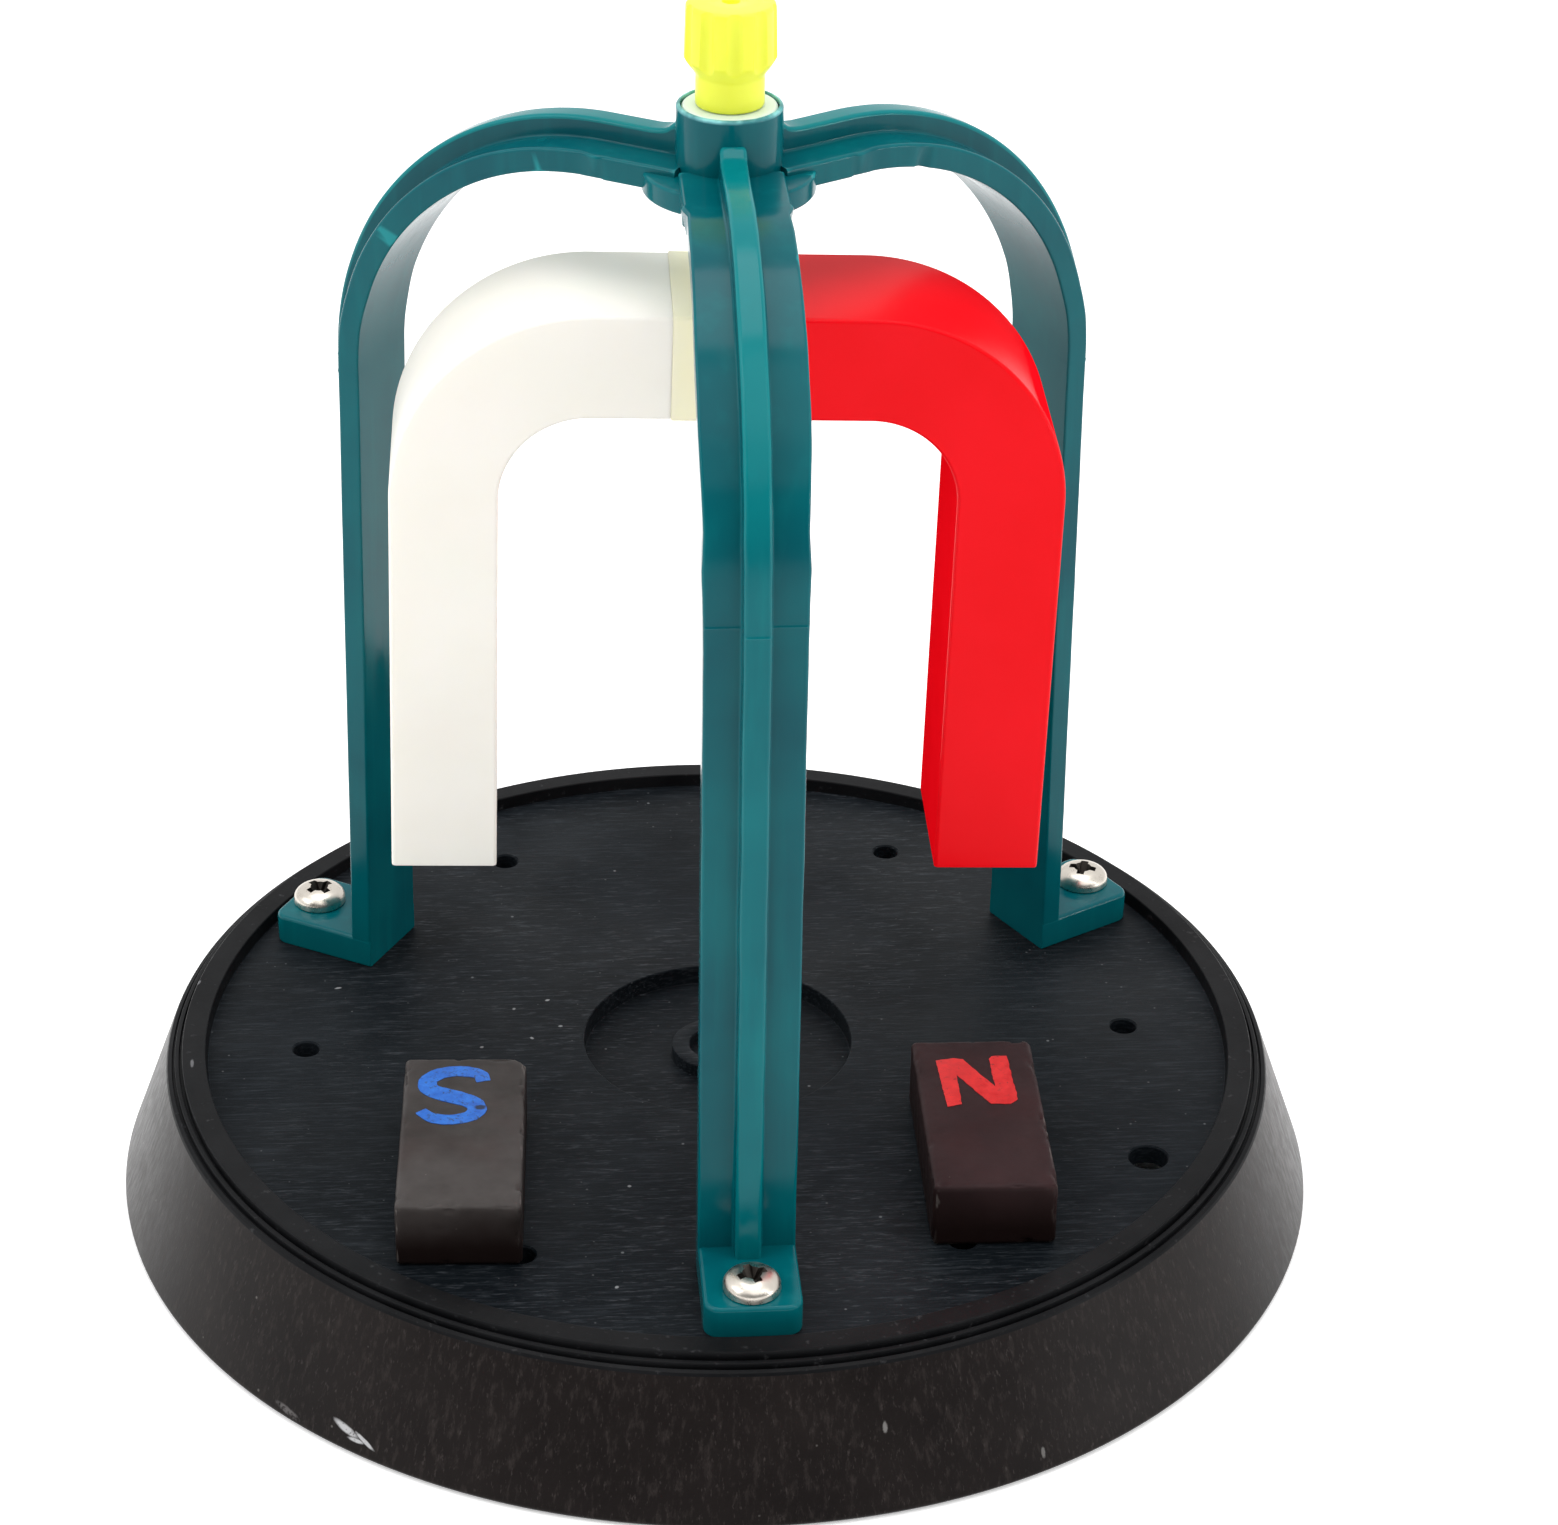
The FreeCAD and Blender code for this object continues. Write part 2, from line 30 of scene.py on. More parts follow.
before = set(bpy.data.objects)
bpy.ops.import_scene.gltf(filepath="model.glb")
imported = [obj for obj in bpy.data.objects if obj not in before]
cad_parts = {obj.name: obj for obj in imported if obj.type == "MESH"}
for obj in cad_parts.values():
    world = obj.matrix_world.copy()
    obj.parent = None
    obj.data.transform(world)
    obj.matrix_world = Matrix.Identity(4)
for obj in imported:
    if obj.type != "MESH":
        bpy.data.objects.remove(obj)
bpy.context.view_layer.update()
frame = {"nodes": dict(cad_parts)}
scene = bpy.context.scene
MM = 0.001


# ================================================================== geometry helpers
def polar(r, az):
    a = math.radians(az)
    return r * math.cos(a), r * math.sin(a)


def turn_z(points, deg):
    a = math.radians(deg)
    c, s = math.cos(a), math.sin(a)
    return [(x * c - y * s, x * s + y * c, z) for x, y, z in points]


def rounded(pts, rad, seg=4, closed=True):
    """An outline in the plane with its corners rounded. rad: one radius, or one for each corner."""
    n = len(pts)
    rads = [rad] * n if isinstance(rad, (int, float)) else list(rad)
    out = []
    for i in range(n):
        p = Vector(pts[i])
        r = rads[i]
        if r <= 0 or (not closed and i in (0, n - 1)):
            out.append((p.x, p.y))
            continue
        a, b = Vector(pts[i - 1]) - p, Vector(pts[(i + 1) % n]) - p
        la, lb = a.length, b.length
        a.normalize()
        b.normalize()
        ang = math.acos(max(-1.0, min(1.0, a.dot(b))))
        if ang > math.pi - 0.02 or ang < 0.02:
            out.append((p.x, p.y))
            continue
        t = min(r / math.tan(ang / 2), 0.49 * la, 0.49 * lb)
        r2 = t * math.tan(ang / 2)
        c = p + (a + b).normalized() * (r2 / math.sin(ang / 2))
        s, e = p + a * t - c, p + b * t - c
        a0 = math.atan2(s.y, s.x)
        d = math.atan2(e.y, e.x) - a0
        d = (d + math.pi) % (2 * math.pi) - math.pi
        for k in range(seg + 1):
            w = a0 + d * k / seg
            out.append((c.x + r2 * math.cos(w), c.y + r2 * math.sin(w)))
    return out


def lathe(profile, n=360, offset=0.0):
    """Closed surface of revolution about Z from a closed (r, z) outline. Returns verts, faces and each face's outline index."""
    verts, rings = [], []
    for r, z in profile:
        if r < 1e-6:
            rings.append([len(verts)])
            verts.append((0.0, 0.0, z))
        else:
            start = len(verts)
            for k in range(n):
                a = 2 * math.pi * (k + offset) / n
                verts.append((r * math.cos(a), r * math.sin(a), z))
            rings.append(list(range(start, start + n)))
    faces, seg = [], []
    m = len(profile)
    for i in range(m):
        a, b = rings[i], rings[(i + 1) % m]
        if len(a) == 1 and len(b) == 1:
            continue
        for k in range(n):
            k2 = (k + 1) % n
            if len(a) == 1:
                faces.append((a[0], b[k2], b[k]))
            elif len(b) == 1:
                faces.append((a[k], a[k2], b[0]))
            else:
                faces.append((a[k], a[k2], b[k2], b[k]))
            seg.append(i)
    return verts, faces, seg


def loft(loops, cap_start=True, cap_end=True, ring=False):
    """Closed surface through loops of points that all have the same number of points."""
    verts, faces = [], []
    n = len(loops[0])
    for lp in loops:
        verts.extend(lp)
    m = len(loops)
    for i in range(m if ring else m - 1):
        a, b = i * n, ((i + 1) % m) * n
        for k in range(n):
            k2 = (k + 1) % n
            faces.append((a + k, a + k2, b + k2, b + k))
    if cap_start and not ring:
        faces.append(tuple(reversed(range(n))))
    if cap_end and not ring:
        faces.append(tuple(range((m - 1) * n, m * n)))
    return verts, faces


def rect_loop(hx, hy, r, seg=5, mid=3):
    """Points of a rounded rectangle, half sizes hx and hy, the same number whatever the sizes."""
    r = min(r, hx * 0.99, hy * 0.99)
    out = []
    corners = [(hx - r, hy - r, 0), (-hx + r, hy - r, 90), (-hx + r, -hy + r, 180), (hx - r, -hy + r, 270)]
    for i, (cx, cy, a0) in enumerate(corners):
        arc = []
        for k in range(seg + 1):
            a = math.radians(a0 + 90.0 * k / seg)
            arc.append((cx + r * math.cos(a), cy + r * math.sin(a)))
        out.extend(arc)
        nx, ny, na = corners[(i + 1) % 4]
        b = (nx + r * math.cos(math.radians(na)), ny + r * math.sin(math.radians(na)))
        for k in range(1, mid + 1):
            t = k / (mid + 1.0)
            out.append((arc[-1][0] * (1 - t) + b[0] * t, arc[-1][1] * (1 - t) + b[1] * t))
    return out


def raw_mesh(name, verts, faces):
    me = bpy.data.meshes.new(name)
    me.from_pydata([(x * MM, y * MM, z * MM) for x, y, z in verts], [], faces)
    me.update()
    bm = bmesh.new()
    bm.from_mesh(me)
    bmesh.ops.recalc_face_normals(bm, faces=bm.faces)
    bm.to_mesh(me)
    bm.free()
    ob = bpy.data.objects.new(name, me)
    scene.collection.objects.link(ob)
    return ob


def boolean(ob, other, op):
    """ob becomes ob op other, and other is removed."""
    mod = ob.modifiers.new("b", "BOOLEAN")
    mod.operation = op
    mod.object = other
    mod.solver = "EXACT"
    bpy.context.view_layer.update()
    dg = bpy.context.evaluated_depsgraph_get()
    me = bpy.data.meshes.new_from_object(ob.evaluated_get(dg))
    ob.modifiers.clear()
    old = ob.data
    ob.data = me
    bpy.data.meshes.remove(old)
    drop = other.data
    bpy.data.objects.remove(other)
    bpy.data.meshes.remove(drop)
    return ob


def clean(ob, dist=0.004):
    bm = bmesh.new()
    bm.from_mesh(ob.data)
    bmesh.ops.remove_doubles(bm, verts=bm.verts, dist=dist * MM)
    bmesh.ops.dissolve_degenerate(bm, dist=dist * MM * 0.5, edges=bm.edges)
    loose = [v for v in bm.verts if not v.link_faces]
    bmesh.ops.delete(bm, geom=loose, context="VERTS")
    bmesh.ops.recalc_face_normals(bm, faces=bm.faces)
    bm.to_mesh(ob.data)
    bm.free()


def finish(ob, mats, body, nodes=(), sharp=32.0, weighted=True):
    """Shading, material and body of one piece; hides the imported nodes it replaces."""
    ob.data.polygons.foreach_set("use_smooth", [True] * len(ob.data.polygons))
    ob.data.set_sharp_from_angle(angle=math.radians(sharp))
    if not isinstance(mats, (list, tuple)):
        mats = [mats]
    keep = [0] * len(ob.data.polygons)
    ob.data.polygons.foreach_get("material_index", keep)
    ob.data.materials.clear()
    for m in mats:
        ob.data.materials.append(m)
    if len(mats) > 1:
        ob.data.polygons.foreach_set("material_index", [min(k, len(mats) - 1) for k in keep])
    if weighted:
        w = ob.modifiers.new("normals", "WEIGHTED_NORMAL")
        w.keep_sharp = True
        w.weight = 50
    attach(ob, body)
    if nodes:
        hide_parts(*nodes)
    return ob


def wobble(x, y, z, scale, seed=0.0):
    return noise.noise(Vector((x * scale + seed, y * scale - seed * 0.7, z * scale + seed * 1.3)))


# ================================================================== material helpers
class Mat:
    """A procedural material on one Principled shader, built from the piece's own coordinates."""

    def __init__(self, name, **sockets):
        self.mat = bpy.data.materials.new(name)
        self.mat.use_nodes = True
        self.t = self.mat.node_tree
        self.t.nodes.clear()
        self.out = self.t.nodes.new("ShaderNodeOutputMaterial")
        self.p = self.t.nodes.new("ShaderNodeBsdfPrincipled")
        self.t.links.new(self.p.outputs[0], self.out.inputs[0])
        self.tc = self.t.nodes.new("ShaderNodeTexCoord")
        self.co = self.tc.outputs["Object"]
        for k, v in sockets.items():
            self.p.inputs[k.replace("_", " ")].default_value = v

    def link(self, a, b):
        self.t.links.new(a, b)

    def set(self, name, value):
        if isinstance(value, bpy.types.NodeSocket):
            self.link(value, self.p.inputs[name])
        else:
            self.p.inputs[name].default_value = value

    def mapping(self, scale=(1, 1, 1), rot=(0, 0, 0), loc=(0, 0, 0), vec=None):
        n = self.t.nodes.new("ShaderNodeMapping")
        n.inputs["Scale"].default_value = scale
        n.inputs["Rotation"].default_value = rot
        n.inputs["Location"].default_value = loc
        self.link(vec or self.co, n.inputs["Vector"])
        return n.outputs[0]

    def noise(self, scale, detail=3.0, rough=0.55, vec=None, dist=0.0):
        n = self.t.nodes.new("ShaderNodeTexNoise")
        n.inputs["Scale"].default_value = scale
        n.inputs["Detail"].default_value = detail
        n.inputs["Roughness"].default_value = rough
        n.inputs["Distortion"].default_value = dist
        self.link(vec or self.co, n.inputs["Vector"])
        return n.outputs["Fac"]

    def voronoi(self, scale, vec=None, feature="F1", random=1.0, out="Distance"):
        n = self.t.nodes.new("ShaderNodeTexVoronoi")
        n.feature = feature
        n.inputs["Scale"].default_value = scale
        n.inputs["Randomness"].default_value = random
        self.link(vec or self.co, n.inputs["Vector"])
        return n.outputs[out]

    def ramp(self, fac, stops, interp="LINEAR"):
        n = self.t.nodes.new("ShaderNodeValToRGB")
        n.color_ramp.interpolation = interp
        els = n.color_ramp.elements
        while len(els) < len(stops):
            els.new(0.5)
        for e, (pos, col) in zip(els, stops):
            e.position = pos
            e.color = (col, col, col, 1) if isinstance(col, (int, float)) else tuple(col) + (1,)
        self.link(fac, n.inputs[0])
        return n.outputs[0]

    def range(self, val, a, b, c=0.0, d=1.0):
        n = self.t.nodes.new("ShaderNodeMapRange")
        n.clamp = True
        for i, v in enumerate((a, b, c, d)):
            n.inputs[1 + i].default_value = v
        self.link(val, n.inputs[0])
        return n.outputs[0]

    def math(self, op, a, b=None, clamp=False):
        n = self.t.nodes.new("ShaderNodeMath")
        n.operation = op
        n.use_clamp = clamp
        for i, v in enumerate((a, b)):
            if v is None:
                continue
            if isinstance(v, bpy.types.NodeSocket):
                self.link(v, n.inputs[i])
            else:
                n.inputs[i].default_value = v
        return n.outputs[0]

    def mix(self, fac, a, b, mode="MIX"):
        n = self.t.nodes.new("ShaderNodeMix")
        n.data_type = "RGBA"
        n.blend_type = mode
        for i, v in ((0, fac), (6, a), (7, b)):
            if isinstance(v, bpy.types.NodeSocket):
                self.link(v, n.inputs[i])
            elif i == 0:
                n.inputs[0].default_value = v
            else:
                n.inputs[i].default_value = tuple(v) + (1,) if len(v) == 3 else v
        return n.outputs[2]

    def bump(self, height, strength, dist_mm, normal=None):
        n = self.t.nodes.new("ShaderNodeBump")
        n.inputs["Strength"].default_value = strength
        n.inputs["Distance"].default_value = dist_mm * MM
        self.link(height, n.inputs["Height"])
        if normal is not None:
            self.link(normal, n.inputs["Normal"])
        return n.outputs[0]

    def xyz(self, vec=None):
        n = self.t.nodes.new("ShaderNodeSeparateXYZ")
        self.link(vec or self.co, n.inputs[0])
        return n.outputs

    def gloss(self, straight, grazing):
        """Strength of the reflection: one value seen straight on, another seen along the surface."""
        n = self.t.nodes.new("ShaderNodeLayerWeight")
        n.inputs["Blend"].default_value = 0.5
        return self.range(n.outputs["Facing"], 0.50, 0.88, straight, grazing)

    def spot(self, centre_mm, half_mm, az=0.0, tilt=0.0, ragged=0.35, soft=0.25, fine=1.0):
        """1 inside an uneven patch round a point of the piece, 0 outside it."""
        m = self.t.nodes.new("ShaderNodeVectorMath")
        m.operation = "SUBTRACT"
        self.link(self.co, m.inputs[0])
        m.inputs[1].default_value = tuple(c * MM for c in centre_mm)
        r1 = self.mapping(rot=(0, 0, -math.radians(az)), vec=m.outputs[0])
        r2 = self.mapping(rot=(0, -math.radians(tilt), 0), vec=r1)
        sc = self.mapping(scale=tuple(1.0 / (h * MM) for h in half_mm), vec=r2)
        ln = self.t.nodes.new("ShaderNodeVectorMath")
        ln.operation = "LENGTH"
        self.link(sc, ln.inputs[0])
        nz = self.noise(fine / (min(half_mm[0], half_mm[1]) * MM), 4.0, 0.65)
        d = self.math("ADD", ln.outputs["Value"], self.math("MULTIPLY", self.math("SUBTRACT", nz, 0.5), ragged * 4))
        return self.range(d, 1.0 + soft, 1.0 - soft, 0.0, 1.0)


def specks(m, scale, size, share):
    """Sparse small dots: 1 in the dots. scale per metre, size 0-1 of a cell, share of cells that have one."""
    d = m.voronoi(scale)
    c = m.voronoi(scale, out="Color")
    r = m.xyz(c)[0]
    on = m.range(r, 1.0 - share, 1.0 - share + 0.001)
    dot = m.range(d, size, size * 0.55)
    return m.math("MULTIPLY", on, dot)


# ================================================================== materials
def dots(m, col, marks, tint):
    """Small pale marks of their own at given points: (x, y, z, half length, half width, azimuth, strength)."""
    for x, y, z, a, b, az, k in marks:
        s = m.spot((x, y, z), (a, b, 1.2), az=az, ragged=0.22)
        col = m.mix(m.math("MULTIPLY", s, k), col, tint)
    return col


FLOOR_MARKS = [(-23.1, 10.6, 18.5, 0.32, 0.22, 20, 0.8), (-27.8, 8.6, 18.5, 0.26, 0.2, 70, 0.6), (-21.5, 3.9, 18.5, 0.28, 0.22, 10, 0.7),
               (-25.5, 1.1, 18.5, 0.3, 0.2, 130, 0.7), (-32.4, -0.8, 18.5, 0.26, 0.22, 40, 0.6), (-52.2, 15.2, 18.5, 0.45, 0.2, 15, 0.7),
               (-13.8, -34.6, 18.5, 0.24, 0.22, 0, 0.6), (-16.4, -56.3, 18.5, 0.28, 0.22, 60, 0.7)]
RIM_MARKS = [(-71.4, -5.8, 20.5, 0.9, 0.22, 92, 0.6), (-71.4, 14.5, 20.5, 0.55, 0.22, 70, 0.7), (10.8, 70.6, 20.5, 0.5, 0.25, 0, 0.5)]


def base_floor_material():
    m = Mat("base_floor_black", Roughness=0.5, IOR=1.5)
    n = m.t.nodes.new("ShaderNodeLayerWeight")
    n.inputs["Blend"].default_value = 0.5
    sheen = m.range(m.noise(26, 3, 0.55, m.mapping(loc=(0.11, 0.37, 0.0))), 0.38, 0.62, 0.55, 1.2)
    m.set("Specular IOR Level", m.math("MULTIPLY", m.range(n.outputs["Facing"], 0.38, 0.54, 0.055, 0.125), sheen))
    streak = m.noise(1.0, 4, 0.6, m.mapping(scale=(130, 2100, 2100), rot=(0, 0, 0.03)))
    streak2 = m.noise(1.0, 3, 0.6, m.mapping(scale=(420, 5200, 5200), rot=(0, 0, -0.05)))
    blotch = m.noise(48, 4, 0.6)
    fine = m.noise(4200, 2, 0.5)
    sp = specks(m, 330, 0.085, 0.10)
    sp2 = specks(m, 900, 0.13, 0.05)
    col = m.mix(m.range(blotch, 0.35, 0.68), (0.0030, 0.0046, 0.0062), (0.0080, 0.0106, 0.0134))
    col = m.mix(m.range(streak, 0.5, 0.76, 0, 0.7), col, (0.026, 0.031, 0.037))
    # short brushed strokes, in patches
    patch = m.range(m.noise(30, 2, 0.5, m.mapping(loc=(0.2, 0.5, 0.0))), 0.42, 0.64, 0.15, 1.0)
    stroke = m.noise(1.0, 3, 0.65, m.mapping(scale=(380, 3000, 3000), rot=(0, 0, 0.12)))
    col = m.mix(m.math("MULTIPLY", m.range(stroke, 0.56, 0.72, 0, 0.7), patch), col, (0.052, 0.058, 0.066))
    col = m.mix(m.range(streak2, 0.60, 0.76, 0, 0.45), col, (0.040, 0.045, 0.051))
    sp3 = specks(m, 520, 0.10, 0.10)
    col = m.mix(m.math("MULTIPLY", sp, 0.6), col, (0.17, 0.18, 0.19))
    col = m.mix(m.math("MULTIPLY", sp3, 0.5), col, (0.11, 0.115, 0.12))
    col = m.mix(m.math("MULTIPLY", sp2, 0.5), col, (0.09, 0.095, 0.10))
    col = dots(m, col, FLOOR_MARKS, (0.28, 0.29, 0.30))
    m.set("Base Color", col)
    m.set("Roughness", m.range(m.math("ADD", streak, m.math("MULTIPLY", blotch, 0.4)), 0.45, 0.95, 0.40, 0.60))
    h = m.math("ADD", m.math("MULTIPLY", streak2, 0.6), m.math("MULTIPLY", fine, 0.5))
    m.set("Normal", m.bump(m.math("ADD", h, m.math("MULTIPLY", streak, 0.7)), 0.45, 0.06))
    return m.mat


def base_rim_material():
    m = Mat("base_rim_black", Roughness=0.36, IOR=1.5)
    m.set("Specular IOR Level", 0.07)
    blotch = m.noise(70, 4, 0.6)
    nicks = m.noise(700, 4, 0.65)
    fine = m.noise(3800, 2, 0.5)
    col = m.mix(m.range(blotch, 0.35, 0.68), (0.0045, 0.0048, 0.0055), (0.0095, 0.0098, 0.0108))
    col = m.mix(m.range(nicks, 0.62, 0.74, 0, 0.6), col, (0.050, 0.050, 0.053))
    col = dots(m, col, RIM_MARKS, (0.20, 0.20, 0.21))
    m.set("Base Color", col)
    m.set("Roughness", m.range(nicks, 0.3, 0.7, 0.30, 0.46))
    m.set("Normal", m.bump(m.math("ADD", m.math("MULTIPLY", nicks, 0.6), m.math("MULTIPLY", fine, 0.3)), 0.3, 0.06))
    return m.mat


def base_skirt_material():
    m = Mat("base_skirt_black", Roughness=0.38, IOR=1.5)
    m.set("Specular IOR Level", m.gloss(0.10, 0.24))
    streak = m.noise(1.0, 5, 0.65, m.mapping(scale=(1100, 1100, 62)))
    streak2 = m.noise(1.0, 3, 0.6, m.mapping(scale=(2600, 2600, 160)))
    blotch = m.noise(60, 4, 0.6)
    fine = m.noise(3500, 2, 0.5)
    col = m.mix(m.range(blotch, 0.3, 0.7), (0.0052, 0.0036, 0.0034), (0.0105, 0.0078, 0.0072))
    col = m.mix(m.range(streak, 0.52, 0.78, 0, 0.75), col, (0.034, 0.027, 0.025))
    col = m.mix(m.range(streak2, 0.60, 0.78, 0, 0.6), col, (0.060, 0.050, 0.047))
    sp = specks(m, 420, 0.10, 0.06)
    col = m.mix(m.math("MULTIPLY", sp, 0.6), col, (0.15, 0.14, 0.13))
    # a scuffed chip low on the front left, with a fainter scrape beside it, and two pale nicks
    chip = m.math("MAXIMUM", m.spot((-50.6, -62.9, 2.95), (1.9, 1.4, 0.44), az=-39.0, tilt=14, ragged=0.16, fine=0.8),
                  m.spot((-48.3, -65.0, 2.45), (1.5, 1.4, 0.24), az=-37.0, tilt=22, ragged=0.20, fine=0.8))
    chip = m.math("MAXIMUM", chip, m.spot((-49.4, -64.3, 2.10), (1.1, 1.4, 0.24), az=-37.0, tilt=-2, ragged=0.20, fine=0.8))
    grain = m.noise(1500, 3, 0.7)
    chip = m.math("MULTIPLY", chip, m.range(grain, 0.30, 0.44, 0.25, 1.0))
    col = m.mix(m.math("MULTIPLY", chip, 0.9), col, (0.50, 0.50, 0.51))
    scrape = m.spot((-58.0, -56.9, 1.35), (2.1, 1.4, 0.42), az=-44.0, tilt=8, ragged=0.25, fine=0.8)
    col = m.mix(m.math("MULTIPLY", m.math("MULTIPLY", scrape, m.range(grain, 0.40, 0.55)), 0.6), col, (0.16, 0.15, 0.15))
    col = dots(m, col, [(15.6, -76.3, 10.6, 0.30, 0.3, 12, 0.5), (36.1, -72.3, 2.5, 0.28, 0.3, 27, 0.4)], (0.30, 0.29, 0.28))
    m.set("Base Color", col)
    m.set("Roughness", m.range(streak, 0.35, 0.75, 0.28, 0.46))
    h = m.math("ADD", m.math("MULTIPLY", streak, 0.8), m.math("MULTIPLY", fine, 0.3))
    m.set("Normal", m.bump(h, 0.35, 0.06))
    return m.mat


def base_under_material():
    m = Mat("base_under_black", Roughness=0.55)
    n = m.noise(90, 4, 0.6)
    f = m.noise(2500, 2, 0.5)
    m.set("Base Color", m.mix(n, (0.010, 0.010, 0.011), (0.019, 0.018, 0.019)))
    m.set("Roughness", m.range(n, 0.3, 0.7, 0.45, 0.62))
    m.set("Normal", m.bump(f, 0.25, 0.05))
    return m.mat


def teal_material(name, dark, light, streak, arch_highlight=0.0):
    m = Mat(name, Roughness=0.24, IOR=1.5)
    m.set("Specular IOR Level", 0.16)
    big = m.noise(55, 3, 0.5)
    flow = m.noise(1.0, 4, 0.55, m.mapping(scale=(420, 420, 40)))
    fine = m.noise(2200, 2, 0.5)
    col = m.mix(m.range(big, 0.3, 0.72), dark, light)
    col = m.mix(m.range(flow, 0.52, 0.78, 0, 0.25), col, streak)
    px = m.xyz()
    if arch_highlight:
        # painted highlight: the rib is painted paler over the arch, where it catches the light
        col = m.mix(m.range(px[2], 0.116, 0.134, 0, arch_highlight), col, streak)
    # painted highlight: the crest of the hub is painted paler
    crest_highlight = m.math("SQRT", m.math("ADD", m.math("MULTIPLY", px[0], px[0]), m.math("MULTIPLY", px[1], px[1])))
    crest_highlight = m.math("MULTIPLY", m.range(px[2], 0.15332, 0.15368), m.range(crest_highlight, 0.0068, 0.0066))
    col = m.mix(m.math("MULTIPLY", crest_highlight, m.range(m.noise(260, 3, 0.6), 0.40, 0.62, 0.2, 0.85)), col, (0.32, 0.74, 0.76))
    # painted highlight: its rounded edges are painted paler too, most over the arches
    g = m.t.nodes.new("ShaderNodeNewGeometry")
    edge = m.range(g.outputs["Pointiness"], 0.52, 0.60)
    col = m.mix(m.math("MULTIPLY", edge, m.range(px[2], 0.100, 0.126, 0.12, 0.42)), col, (0.02, 0.40, 0.42))
    # pale flecks at the parting line of each leg
    flecks = None
    for az, side in ((-90.0, -1), (-90.0, 1), (30.0, 1), (150.0, -1)):
        x, y = polar(54.9, az)
        tx, ty = polar(5.9 * side, az + 90.0)
        s = m.spot((x + tx, y + ty, 109.7), (0.9, 0.9, 0.28), ragged=0.3, fine=1.5)
        flecks = s if flecks is None else m.math("MAXIMUM", flecks, s)
    col = m.mix(m.math("MULTIPLY", flecks, 0.45), col, (0.30, 0.52, 0.54))
    m.set("Base Color", col)
    m.set("Roughness", m.range(m.math("ADD", flow, m.math("MULTIPLY", fine, 0.3)), 0.45, 0.95, 0.11, 0.24))
    h = m.math("ADD", m.math("MULTIPLY", flow, 0.9), m.math("MULTIPLY", big, 0.8))
    m.set("Normal", m.bump(h, 0.16, 0.10))
    return m.mat


def gloss_material(name, dark, light, rough=0.24, coat=0.0, streak_z=45, sss=0.0, sss_rgb=(1, 0.2, 0.1), bump=0.1, tints=(), spec=0.3, graze=None):
    m = Mat(name, Roughness=rough, IOR=1.5)
    m.set("Specular IOR Level", spec if graze is None else m.gloss(spec, graze))
    big = m.noise(60, 3, 0.5)
    fine = m.noise(1.0, 3, 0.55, m.mapping(scale=(520, 520, streak_z)))
    col = m.mix(m.range(big, 0.3, 0.7), dark, light)
    for seed, tint, amount in tints:
        t = m.noise(38, 3, 0.55, m.mapping(loc=(seed, -seed, seed * 2)))
        col = m.mix(m.range(t, 0.5, 0.7, 0, amount), col, tint)
    m.set("Base Color", col)
    m.set("Roughness", m.range(fine, 0.3, 0.75, rough * 0.98, rough * 1.03))
    m.set("Normal", m.bump(big, bump, 0.12))
    if sss:
        m.set("Subsurface Weight", sss)
        m.set("Subsurface Radius", sss_rgb)
        m.set("Subsurface Scale", 0.0025)
    if coat:
        m.set("Coat Weight", coat)
        m.set("Coat Roughness", 0.12)
    return m


def metal_material(name, a, b, rough, scale=900):
    m = Mat(name, Metallic=1.0)
    n = m.noise(scale, 4, 0.6)
    m.set("Base Color", m.mix(n, a, b))
    m.set("Roughness", m.range(n, 0.3, 0.7, rough * 0.75, rough * 1.35))
    m.set("Normal", m.bump(n, 0.12, 0.03))
    return m


def ferrite_material(name, dark, light, red, rough=0.5, painted_shade=(0.009, 0.0045, 0.004)):
    m = Mat(name, Roughness=rough, IOR=1.5)
    m.set("Specular IOR Level", 0.10)
    big = m.noise(90, 4, 0.6)
    mid = m.noise(420, 4, 0.65)
    fine = m.noise(3000, 2, 0.6)
    col = m.mix(m.range(big, 0.3, 0.7), dark, light)
    col = m.mix(m.range(m.noise(70, 3, 0.6, m.mapping(loc=(0.3, 0.1, 0.7))), 0.5, 0.72, 0, 0.55), col, red)
    col = m.mix(m.range(mid, 0.6, 0.78, 0, 0.35), col, light)
    sp = specks(m, 800, 0.12, 0.05)
    col = m.mix(m.math("MULTIPLY", sp, 0.4), col, (0.22, 0.2, 0.18))
    # painted shade: the ground top is left clean, the unground sides are painted darker, and darker still towards the
    # bottom
    side = m.range(m.xyz(m.tc.outputs["Normal"])[2], 0.80, 0.35)
    col = m.mix(m.math("MULTIPLY", side, 0.45), col, painted_shade)
    low = m.range(m.math("ADD", m.xyz()[2], m.math("MULTIPLY", m.math("SUBTRACT", big, 0.5), 0.003)), 0.0276, 0.0212)
    col = m.mix(m.math("MULTIPLY", low, 0.9), col, painted_shade)
    # worn edges: paler where the surface turns
    g = m.t.nodes.new("ShaderNodeNewGeometry")
    edge = m.math("MULTIPLY", m.range(g.outputs["Pointiness"], 0.52, 0.60), m.range(mid, 0.36, 0.60, 0.35, 1.0))
    col = m.mix(m.math("MULTIPLY", edge, 0.5), col, (0.17, 0.155, 0.145))
    m.set("Base Color", col)
    m.set("Roughness", m.range(mid, 0.3, 0.7, rough * 0.8, rough * 1.25))
    m.set("Normal", m.bump(m.math("ADD", m.math("MULTIPLY", mid, 0.7), m.math("MULTIPLY", fine, 0.3)), 0.3, 0.08))
    return m


